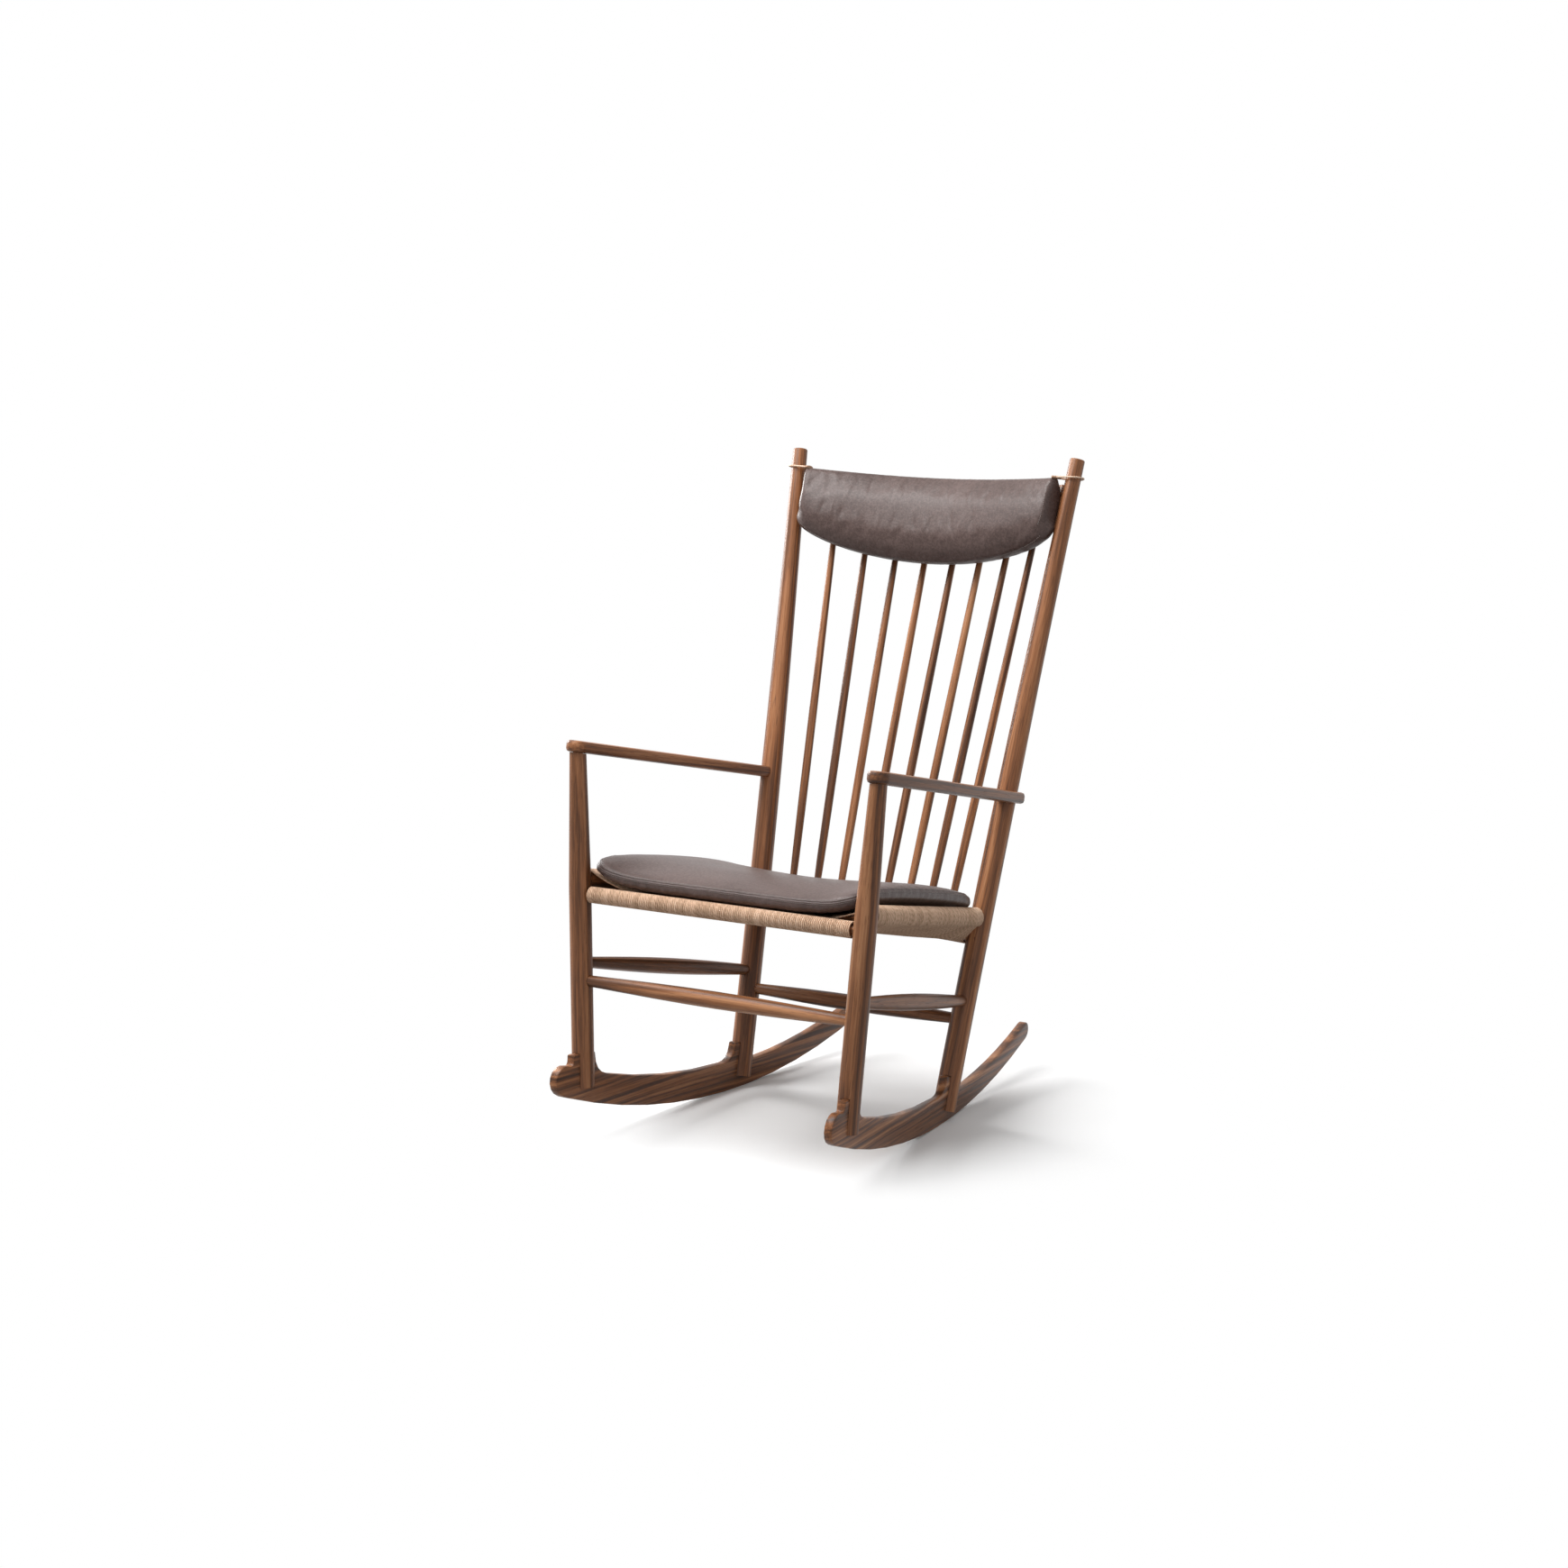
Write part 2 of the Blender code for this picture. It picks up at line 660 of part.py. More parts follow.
def seat_edges(across):
    """Front and back limits of the woven seat, to the outside of its rolls."""
    front = leg_point(1, FRONT_RAIL_Z).y - SEAT_ROLL
    limit = post_point(1, BACK_RAIL_Z).x
    back = back_rail_point(min(abs(across), limit)).y + SEAT_ROLL
    return front, back


def seat_middle_z(across, along_y):
    """Height of the woven seat's middle surface: rails at the edges, a saddle between them."""
    front, back = seat_edges(across)
    share = (along_y - front - SEAT_ROLL) / (back - front - 2.0 * SEAT_ROLL)
    share = min(max(share, 0.0), 1.0)
    side_front = leg_point(1, SIDE_RAIL_FRONT_Z)
    side_back = post_point(1, SIDE_RAIL_BACK_Z)
    run = (along_y - side_front.y) / (side_back.y - side_front.y)
    side_z = side_front.z + (side_back.z - side_front.z) * run
    middle_z = FRONT_RAIL_Z + (BACK_RAIL_Z - FRONT_RAIL_Z) * share
    power = 2.0 + 6.0 * (2.0 * share - 1.0) ** 2
    return middle_z + (side_z - middle_z) * seat_reach(across, along_y) ** power


def seat_reach(across, along_y):
    """Share of the way from the seat's middle to the axis of its side rail."""
    return min(abs(across) / (seat_half_width(along_y) - SEAT_ROLL), 1.0)


def seat_top_z(across, along_y):
    """Height of the woven seat's upper face, from its middle surface and slope."""
    step = 0.002
    slope_x = (seat_middle_z(across + step, along_y) - seat_middle_z(across - step, along_y)) / (2.0 * step)
    slope_y = (seat_middle_z(across, along_y + step) - seat_middle_z(across, along_y - step)) / (2.0 * step)
    roll = SEAT_ROLL + (SEAT_SIDE_ROLL - SEAT_ROLL) * side_fullness(seat_reach(across, along_y))
    return seat_middle_z(across, along_y) + roll * math.sqrt(1.0 + slope_x ** 2 + slope_y ** 2)


def side_fullness(reach):
    """How far the weave thickens towards the deeper side rails, by its share across."""
    return reach ** 6


def shaped_grid(name, columns, rows, shape):
    """A grid whose points are placed by shape(u, v), with u and v from -1 to 1."""
    grid = bmesh.new()
    bmesh.ops.create_grid(grid, x_segments=columns, y_segments=rows, size=1.0)
    for vert in grid.verts:
        vert.co = shape(vert.co.x, vert.co.y)
    mesh = bpy.data.meshes.new(name)
    grid.to_mesh(mesh)
    grid.free()
    return mesh


def thicken(body, thickness, offset, boxed=0.0):
    """Give an open surface its thickness along its normals, with edges held as sharp as boxed says."""
    solid = body.modifiers.new("thickness", "SOLIDIFY")
    solid.thickness = thickness
    solid.offset = offset
    solid.edge_crease_outer = boxed
    solid.edge_crease_inner = boxed


def swell(body, rim_share, weight):
    """Make a thickened body fuller where weight(point index) is near 1 and thin at its rim."""
    group = body.vertex_groups.new(name="fullness")
    for vert in body.data.vertices:
        group.add([vert.index], weight(vert.index), "REPLACE")
    body.modifiers["thickness"].vertex_group = group.name
    body.modifiers["thickness"].thickness_vertex_group = rim_share


def grid_weight(columns, rows, rule):
    """Weight by point index, from rule(u, v), of a grid with so many columns and rows of faces."""
    def weight(index):
        row, column = divmod(index, columns + 1)
        return rule(2.0 * column / columns - 1.0, 2.0 * row / rows - 1.0)
    return weight


def soften(body):
    """Round a cage with one level of subdivision."""
    smooth = body.modifiers.new("soft", "SUBSURF")
    smooth.levels = 1
    smooth.render_levels = 1


def make_rockers(shop):
    """The two rockers."""
    for word, side in SIDES.items():
        mesh = plate(f"rocker_{word}", rocker_outline(), ROCKER_THICKNESS, ROCKER_EDGE)
        mesh.transform(rocker_shear(side))
        shop.piece(mesh.name, mesh, OLD_WALNUT)


def make_front_legs(shop):
    """The two front legs with fork, arm tenon and mortises."""
    for word, side in SIDES.items():
        name = f"front_leg_{word}"
        frame, _ = arm_frame(side)
        foot = leg_point(side, LEG_END_Z)
        along = (leg_point(side, LEG_HEAD.z) - foot).normalized()
        top = leg_point(side, ARM_FRONT_Z) + along * (ARM_THICKNESS / 2 - ARM_TENON_COVER)
        length = (top - foot).length
        scale = length / (top.z - foot.z)
        taper = (LEG_TAPER_START_Z - LEG_END_Z) * scale
        profile = [(0.0, LEG_RADIUS), (taper, LEG_RADIUS), (length, leg_radius(top.z))]
        body = shop.piece(name, turned(name, profile, foot, top))
        shoulder = shop.cut(body, name + "_shoulder", shoulder_block(name + "_shoulder", frame))
        core = rod(name + "_core", foot, top + along * LEG_RADIUS, LEG_TENON_RADIUS)
        shop.cut(shoulder, name + "_core", core)
        slot = rocker_slot(name + "_slot", side, leg_point, LEG_RADIUS, LEG_END_Z, front_ear_z())
        shop.cut(body, name + "_slot", slot)
        cut_leg_mortises(shop, body, side)


def shoulder_block(name, frame):
    """Block above an armrest's lower face, which squares off the leg's shoulder."""
    size = 4.0 * LEG_RADIUS
    block = bmesh.new()
    bmesh.ops.create_cube(block, size=size)
    mesh = bpy.data.meshes.new(name)
    block.to_mesh(mesh)
    block.free()
    mesh.transform(frame @ Matrix.Translation((0.0, 0.0, size / 2 - ARM_THICKNESS / 2 - GAP)))
    return mesh


def cut_leg_mortises(shop, body, side):
    """Blind holes in a front leg for its rails and stretchers."""
    name = body.name
    across = leg_point(-side, FRONT_RAIL_Z)
    inside, _ = member_ends(leg_point(side, FRONT_RAIL_Z), across)
    mortise(shop, body, name + "_front_rail_hole", inside, across, RAIL_TENON_RADIUS)
    back = post_point(side, SIDE_RAIL_BACK_Z)
    inside, _ = member_ends(leg_point(side, SIDE_RAIL_FRONT_Z), back)
    mortise(shop, body, name + "_side_rail_hole", inside, back, RAIL_TENON_RADIUS, oval_section())
    across = leg_point(-side, FRONT_STRETCHER_Z)
    inside, _ = member_ends(leg_point(side, FRONT_STRETCHER_Z), across)
    mortise(shop, body, name + "_front_stretcher_hole", inside, across, STRETCHER_END_RADIUS)
    back = post_point(side, SIDE_STRETCHER_BACK_Z)
    inside, _ = member_ends(leg_point(side, SIDE_STRETCHER_FRONT_Z), back)
    mortise(shop, body, name + "_side_stretcher_hole", inside, back, STRETCHER_END_RADIUS)


def post_mesh(name, side, grow=0.0):
    """A back post along its bowed axis, with a rounded head."""
    neck = POST_HEAD.z - POST_HEAD_ROUND
    heights = spread(POST_END_Z, neck, 13)
    stations = [(post_point(side, height), post_radius(height) + grow) for height in heights]
    for turn in spread(0.0, math.pi / 2, 4)[1:]:
        height = neck + POST_HEAD_ROUND * math.sin(turn)
        radius = POST_HEAD_RADIUS - POST_HEAD_ROUND * (1.0 - math.cos(turn))
        stations.append((post_point(side, height), radius + grow))
    return swept(name, stations)


def make_back_posts(shop):
    """The two back posts with fork and mortises."""
    for word, side in SIDES.items():
        name = f"back_post_{word}"
        body = shop.piece(name, post_mesh(name, side))
        slot = rocker_slot(name + "_slot", side, post_point, POST_FOOT_RADIUS, POST_END_Z, back_ear_z())
        shop.cut(body, name + "_slot", slot)
        shop.cut(body, name + "_back_rail_hole", back_rail_mesh(name + "_back_rail_hole", GAP))
        front = leg_point(side, SIDE_RAIL_FRONT_Z)
        _, inside = member_ends(front, post_point(side, SIDE_RAIL_BACK_Z))
        mortise(shop, body, name + "_side_rail_hole", inside, front, RAIL_TENON_RADIUS, oval_section())
        across = post_point(-side, BACK_STRETCHER_Z)
        inside, _ = member_ends(post_point(side, BACK_STRETCHER_Z), across)
        mortise(shop, body, name + "_back_stretcher_hole", inside, across, STRETCHER_END_RADIUS)
        front = leg_point(side, SIDE_STRETCHER_FRONT_Z)
        _, inside = member_ends(front, post_point(side, SIDE_STRETCHER_BACK_Z))
        mortise(shop, body, name + "_side_stretcher_hole", inside, front, STRETCHER_END_RADIUS)
        shop.cut(body, name + "_crest_hole", crest_mesh(name + "_crest_hole", GAP), bent=True)
        shop.cut(body, name + "_dowel_hole", dowel_mesh(name + "_dowel_hole", side, GAP))


def dowel_mesh(name, side, grow=0.0):
    """The dowel that pins an armrest to its post."""
    frame, _ = arm_frame(side)
    across = frame.to_3x3() @ ACROSS * side
    centre = post_point(side, ARM_BACK_Z)
    outer = ARM_OUTSIDE_POST + ARM_WIDTH / 2 - ARM_DOWEL_COVER
    start = centre - across * (ARM_DOWEL_DEPTH + grow)
    return rod(name, start, centre + across * (outer + grow), ARM_DOWEL_RADIUS + grow, ROD_SIDES)


def arm_outline(length):
    """Plan of an armrest: round over the leg, straight sides, rounded corners past the post."""
    half = ARM_WIDTH / 2
    end = length + ARM_PAST_POST
    inset = half - ARM_END_CORNER
    points = [(half * math.cos(turn), half * math.sin(turn)) for turn in spread(-math.pi, 0.0, 13)]
    for centre, first in ((inset, 0.0), (-inset, math.pi / 2)):
        for turn in spread(first, first + math.pi / 2, 5):
            points.append((centre + ARM_END_CORNER * math.cos(turn),
                           end - ARM_END_CORNER + ARM_END_CORNER * math.sin(turn)))
    return points


def make_armrests(shop):
    """The two armrests and the dowels that pin them to the posts."""
    for word, side in SIDES.items():
        name = f"armrest_{word}"
        frame, length = arm_frame(side)
        mesh = plate(name, arm_outline(length), ARM_THICKNESS, ARM_EDGE)
        mesh.transform(frame)
        body = shop.piece(name, mesh)
        shop.cut(body, name + "_notch", post_mesh(name + "_notch", side, GAP))
        foot = leg_point(side, LEG_END_Z)
        along = (leg_point(side, LEG_HEAD.z) - foot).normalized()
        top = leg_point(side, ARM_FRONT_Z) + along * (ARM_THICKNESS / 2 - ARM_TENON_COVER)
        mortise(shop, body, name + "_leg_hole", top, foot, LEG_TENON_RADIUS)
        shop.cut(body, name + "_dowel_hole", dowel_mesh(name + "_dowel_hole", side, GAP))
        dowel = f"arm_dowel_{word}"
        shop.piece(dowel, dowel_mesh(dowel, side), OLD_WALNUT)


def make_stretchers(shop):
    """The four cigar-shaped stretchers."""
    spans = {
        "front_stretcher": (leg_point(-1, FRONT_STRETCHER_Z), leg_point(1, FRONT_STRETCHER_Z)),
        "back_stretcher": (post_point(-1, BACK_STRETCHER_Z), post_point(1, BACK_STRETCHER_Z)),
    }
    for word, side in SIDES.items():
        front = leg_point(side, SIDE_STRETCHER_FRONT_Z)
        spans[f"side_stretcher_{word}"] = (front, post_point(side, SIDE_STRETCHER_BACK_Z))
    bury = LEG_RADIUS + TENON_PAST_AXIS
    for name, (start, end) in spans.items():
        first, last = member_ends(start, end)
        length = (last - first).length
        middle = cigar(length - 2.0 * bury, STRETCHER_END_RADIUS, STRETCHER_MIDDLE_RADIUS)
        profile = [(0.0, STRETCHER_END_RADIUS)]
        profile += [(bury + along, radius) for along, radius in middle]
        profile.append((length, STRETCHER_END_RADIUS))
        shop.piece(name, turned(name, profile, first, last), OLD_WALNUT)


def make_rails(shop):
    """The four seat rails inside the weave."""
    shop.piece("front_seat_rail", front_rail_mesh("front_seat_rail"))
    back = shop.piece("back_seat_rail", back_rail_mesh("back_seat_rail"))
    for index in range(SPINDLE_COUNT):
        bottom, top = spindle_ends(index)
        mortise(shop, back, f"back_seat_rail_hole_{index + 1}", bottom, top, SPINDLE_END_RADIUS,
                sides=ROD_SIDES)
    for word, side in SIDES.items():
        name = f"side_seat_rail_{word}"
        shop.piece(name, side_rail_mesh(name, side))


def make_back(shop):
    """The crest rail and its spindles."""
    crest = shop.piece("crest_rail", crest_mesh("crest_rail"))
    for index in range(SPINDLE_COUNT):
        bottom, top = spindle_ends(index)
        hole = f"crest_rail_hole_{index + 1}"
        mortise(shop, crest, hole, top, bottom, SPINDLE_END_RADIUS, sides=ROD_SIDES)
        name = f"spindle_{index + 1}"
        length = (top - bottom).length
        bury = RAIL_RADIUS + SPINDLE_BOTTOM_DEPTH
        middle = cigar(length - bury - SPINDLE_TOP_DEPTH, SPINDLE_END_RADIUS, SPINDLE_SWELL_RADIUS,
                       SPINDLE_SWELL_PLACE)
        profile = [(0.0, SPINDLE_END_RADIUS)]
        profile += [(bury + along, radius) for along, radius in middle]
        profile.append((length, SPINDLE_END_RADIUS))
        shop.piece(name, turned(name, profile, bottom, top, ROD_SIDES))


def make_woven_seat(shop):
    """The woven cord seat as one solid that rolls round the rails and leaves room for legs and spindles."""
    def shape(across, along):
        front, back = seat_edges(0.0)
        place_y = front + (back - front) * (along + 1.0) / 2.0
        place_x = across * seat_half_width(place_y)
        front, back = seat_edges(place_x)
        place_y = front + (back - front) * (along + 1.0) / 2.0
        return Vector((place_x, place_y, seat_middle_z(place_x, place_y)))

    columns, rows = 12, 8
    body = shop.piece("woven_seat", shaped_grid("woven_seat", columns, rows, shape), CORD, 0.8)
    thicken(body, 2.0 * SEAT_SIDE_ROLL, 0.0)
    swell(body, SEAT_ROLL / SEAT_SIDE_ROLL, grid_weight(columns, rows, lambda u, v: side_fullness(abs(u))))
    rim = body.modifiers.new("rolled_edge", "BEVEL")
    rim.width = SEAT_EDGE_ROUND
    rim.segments = 3
    rim.limit_method = "ANGLE"
    rim.angle_limit = math.radians(60)
    rim.use_clamp_overlap = False
    shop.cut(body, "woven_seat_front_rail", front_rail_mesh("woven_seat_front_rail", GAP))
    shop.cut(body, "woven_seat_back_rail", back_rail_mesh("woven_seat_back_rail", GAP))
    for word, side in SIDES.items():
        shop.cut(body, f"woven_seat_rail_{word}", side_rail_mesh(f"woven_seat_rail_{word}", side, GAP))
        leg = rod(f"woven_seat_leg_{word}", leg_point(side, LEG_END_Z), leg_point(side, LEG_HEAD.z),
                  LEG_RADIUS + CORNER_GAP)
        shop.cut(body, leg.name, leg)
        shop.cut(body, f"woven_seat_post_{word}", post_mesh(f"woven_seat_post_{word}", side, CORNER_GAP))
    for index in range(SPINDLE_COUNT):
        bottom, top = spindle_ends(index)
        name = f"woven_seat_spindle_{index + 1}"
        shop.cut(body, name, rod(name, bottom, top, SPINDLE_SWELL_RADIUS + GAP, ROD_SIDES))


def sliding_empty(shop, name, place):
    """Empty on a lifting piece's axis."""
    empty = bpy.data.objects.new(name, None)
    empty.location = place
    shop.parts.objects.link(empty)
    return empty


def hold(piece, empty):
    """Parent a piece to an empty and keep it where it is."""
    piece.parent = empty
    piece.matrix_parent_inverse = Matrix.Translation(empty.location).inverted()


def fullness(across, along):
    """How far a cushion is filled: 1 in the middle, 0 at its rim."""
    return (1.0 - across ** 4) * (1.0 - along ** 4)


def cushion_half_width(share):
    """Half the seat cushion's width, from its front at 0 to its back at 1, past the seat's corners."""
    front = leg_point(1, SIDE_RAIL_FRONT_Z).x + CUSHION_PAST_LEGS
    back = post_point(1, SIDE_RAIL_BACK_Z).x + CUSHION_PAST_POSTS
    return front + (back - front) * share


def cushion_ends():
    """Front and back limits of the seat cushion, from the rails it lies on."""
    front = leg_point(1, FRONT_RAIL_Z).y - CUSHION_PAST_FRONT_RAIL
    return front, back_rail_point(0.0).y - CUSHION_SHORT_OF_BACK_RAIL


def make_seat_cushion(shop):
    """The seat cushion: flat on the weave's saddle below, crowned above, sides drawn in."""
    front, back = cushion_ends()

    def shape(across, along):
        pull = 1.0 - CUSHION_CORNER_PULL * (across * along) ** 6
        share = (along * pull + 1.0) / 2.0
        half = cushion_half_width(share) - CUSHION_DRAW_IN * (1.0 - along ** 2)
        draw = CUSHION_DRAW_IN * along * (1.0 - across ** 2)
        place_y = front + (back - front) * share - draw
        place_x = across * pull * half
        arch = CUSHION_SIDE_ARCH * across ** 4 * (1.0 - along ** 4)
        return Vector((place_x, place_y, seat_top_z(place_x, place_y) + CUSHION_REST_GAP + arch))

    columns, rows = 10, 8
    body = shop.piece("seat_cushion", shaped_grid("seat_cushion", columns, rows, shape), LEATHER, 0.45)
    thicken(body, CUSHION_CROWN, 1.0, CUSHION_BOXED)
    swell(body, CUSHION_RIM / CUSHION_CROWN, grid_weight(columns, rows, fullness))
    soften(body)
    start = Vector((0.0, (front + back) / 2.0, seat_top_z(0.0, (front + back) / 2.0)))
    hold(body, sliding_empty(shop, "seat_cushion_lift", start))


def neck_frame():
    """Matrix of the neck cushion: X across, Y to the back, Z up the lean of the back."""
    ahead = CREST_THICKNESS / 2 + NECK_STAND_OFF + NECK_CROWN / 2
    return crest_frame() @ Matrix.Translation((0.0, CREST_BOW - ahead, NECK_RISE))


def neck_half_width():
    """Half the neck cushion's width, which leaves a gap beside each post."""
    return post_point(1, CREST_Z).x - post_radius(CREST_Z) - NECK_POST_GAP


def neck_bow():
    """How far the neck cushion's ends come forward, a share of the crest rail's own bend."""
    radius = crest_radius()
    return NECK_BEND * (radius - math.sqrt(radius ** 2 - neck_half_width() ** 2))


def neck_drop(across):
    """Depth of the neck cushion's lower edge below its top, by its share across."""
    curve = math.sqrt(max(1.0 - across ** 2, 0.0))
    return NECK_END_HEIGHT + (NECK_HEIGHT - NECK_END_HEIGHT) * curve


def neck_edge(across):
    """Point of the neck cushion's upper edge, by its share across."""
    bent = Vector((across * neck_half_width(), -neck_bow() * across ** 2, -NECK_END_FALL * across ** 2))
    return neck_frame() @ bent


def neck_fullness(across, along):
    """How far the neck cushion is filled: seams above and below, sewn end panels at the sides."""
    return (1.0 - along ** 4) * (1.0 - (1.0 - NECK_END_FILL) * across ** 4)


def make_neck_cushion(shop):
    """The half-moon neck cushion and the loops that hang it from the posts."""
    frame = neck_frame()
    lean = frame.to_3x3() @ UP

    def shape(across, along):
        depth = neck_drop(across) - NECK_END_FALL * across ** 2
        return neck_edge(across) - lean * (depth * (1.0 - along) / 2.0)

    columns, rows = 12, 6
    body = shop.piece("neck_cushion", shaped_grid("neck_cushion", columns, rows, shape), LEATHER, 0.45)
    thicken(body, NECK_CROWN, 0.0, CUSHION_BOXED)
    swell(body, NECK_RIM / NECK_CROWN, grid_weight(columns, rows, neck_fullness))
    soften(body)
    empty = sliding_empty(shop, "neck_cushion_lift", frame.translation)
    hold(body, empty)
    for word, side in SIDES.items():
        name = f"neck_loop_{word}"
        hold(shop.piece(name, loop_mesh(name, side), LACE, 0.6), empty)


def loop_mesh(name, side):
    """A lace loop, sewn to the neck cushion's upper corner and laid round a post."""
    height = POST_HEAD.z - LOOP_BELOW_HEAD
    centre = post_point(side, height)
    along = (post_point(side, POST_HEAD.z) - centre).normalized()
    sewn = neck_edge(side * LOOP_SEWN_PLACE) + along * LOOP_SEAM_RISE
    outward = (centre - sewn).normalized()
    back = along.cross(outward).normalized()
    reach = post_radius(height) + LOOP_SLACK + LOOP_TUBE_RADIUS
    quarter = math.pi / 2 + math.asin((reach - LOOP_END_RADIUS) / (centre - sewn).length)
    round_post = [(centre, reach, turn) for turn in spread(-quarter, quarter, 18)]
    sewn_end = [(sewn, LOOP_END_RADIUS, turn) for turn in spread(quarter, 2.0 * math.pi - quarter, 6)]
    stations = []
    for middle, radius, turn in round_post + sewn_end:
        place = middle + outward * (radius * math.cos(turn)) + back * (radius * math.sin(turn))
        stations.append((place, LOOP_TUBE_RADIUS))
    return swept(name, stations, 8, cyclic=True)


def main():
    """Build the chair from the floor up."""
    clear_scene()
    shop = Workshop()
    make_rockers(shop)
    make_front_legs(shop)
    make_back_posts(shop)
    make_stretchers(shop)
    make_rails(shop)
    make_armrests(shop)
    make_back(shop)
    make_woven_seat(shop)
    make_seat_cushion(shop)
    make_neck_cushion(shop)


main()
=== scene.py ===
"""Spindle back rocking chair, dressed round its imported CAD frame.

Metres, +Z up. The chair faces -Y, and left is the sitter's left, +X.
"""
from __future__ import annotations

import json
import logging
import math
import random
from collections.abc import Callable, Iterable, Sequence
from dataclasses import dataclass, field, replace
from enum import Enum

import bmesh
import bpy
import numpy as np
from mathutils import Euler, Matrix, Vector
from mathutils.bvhtree import BVHTree

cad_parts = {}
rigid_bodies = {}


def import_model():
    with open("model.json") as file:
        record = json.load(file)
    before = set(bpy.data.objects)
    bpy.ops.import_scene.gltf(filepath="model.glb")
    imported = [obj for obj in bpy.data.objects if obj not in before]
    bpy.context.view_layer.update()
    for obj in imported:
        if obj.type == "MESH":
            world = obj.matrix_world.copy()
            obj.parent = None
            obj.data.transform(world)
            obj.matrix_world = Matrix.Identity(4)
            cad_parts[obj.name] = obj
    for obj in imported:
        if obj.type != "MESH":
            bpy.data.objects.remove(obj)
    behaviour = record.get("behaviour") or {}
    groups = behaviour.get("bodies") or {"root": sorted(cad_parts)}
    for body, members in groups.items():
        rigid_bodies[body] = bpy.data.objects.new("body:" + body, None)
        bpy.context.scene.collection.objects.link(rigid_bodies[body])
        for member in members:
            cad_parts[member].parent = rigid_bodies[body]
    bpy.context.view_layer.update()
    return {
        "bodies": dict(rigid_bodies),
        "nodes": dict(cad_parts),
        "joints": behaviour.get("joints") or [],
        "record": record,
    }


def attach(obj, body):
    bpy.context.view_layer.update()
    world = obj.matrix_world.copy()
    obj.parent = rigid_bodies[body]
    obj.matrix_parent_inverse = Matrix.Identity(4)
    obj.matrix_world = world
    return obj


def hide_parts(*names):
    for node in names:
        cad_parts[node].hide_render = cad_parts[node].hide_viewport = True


LOG = logging.getLogger("rocking_chair")
Colour = tuple[float, float, float]
Triple = tuple[float, float, float]
Pair = tuple[float, float]
Spot = tuple[Vector, Vector]
Hold = Callable[[Vector, Vector], bool]
UP = Vector((0.0, 0.0, 1.0))
ACROSS = Vector((1.0, 0.0, 0.0))
SEEN_RAYS = ("Is Camera Ray", "Is Glossy Ray", "Is Transmission Ray")


class Side(Enum):
    """A side of the chair, with the sign of its X."""

    LEFT = 1
    RIGHT = -1

    @property
    def word(self) -> str:
        """The side as node names write it."""
        return self.name.lower()


class Body(str, Enum):
    """The CAD bodies that pieces ride on."""

    FRAME = "frame"
    SEAT = "seat_cushion"
    NECK = "neck_cushion"


class Tone(Enum):
    """How dark a walnut piece is beside the others."""

    LIGHT = 1.12
    MIDDLE = 1.0
    DARK = 0.88


class Signal:
    """A node's output socket that takes part in Python expressions."""

    def __init__(self, bench: Bench, socket: bpy.types.NodeSocket) -> None:
        """Keep the socket and the bench that it belongs to."""
        self.bench = bench
        self.socket = socket

    def __add__(self, other: Signal | float) -> Signal:
        """This value plus another."""
        return self.bench.maths("ADD", self, other)

    def __radd__(self, other: float) -> Signal:
        """A number plus this value."""
        return self.bench.maths("ADD", other, self)

    def __sub__(self, other: Signal | float) -> Signal:
        """This value minus another."""
        return self.bench.maths("SUBTRACT", self, other)

    def __rsub__(self, other: float) -> Signal:
        """A number minus this value."""
        return self.bench.maths("SUBTRACT", other, self)

    def __mul__(self, other: Signal | float) -> Signal:
        """This value times another."""
        return self.bench.maths("MULTIPLY", self, other)

    def __rmul__(self, other: float) -> Signal:
        """A number times this value."""
        return self.bench.maths("MULTIPLY", other, self)

    def __truediv__(self, other: Signal | float) -> Signal:
        """This value divided by another."""
        return self.bench.maths("DIVIDE", self, other)

    def __rtruediv__(self, other: float) -> Signal:
        """A number divided by this value."""
        return self.bench.maths("DIVIDE", other, self)


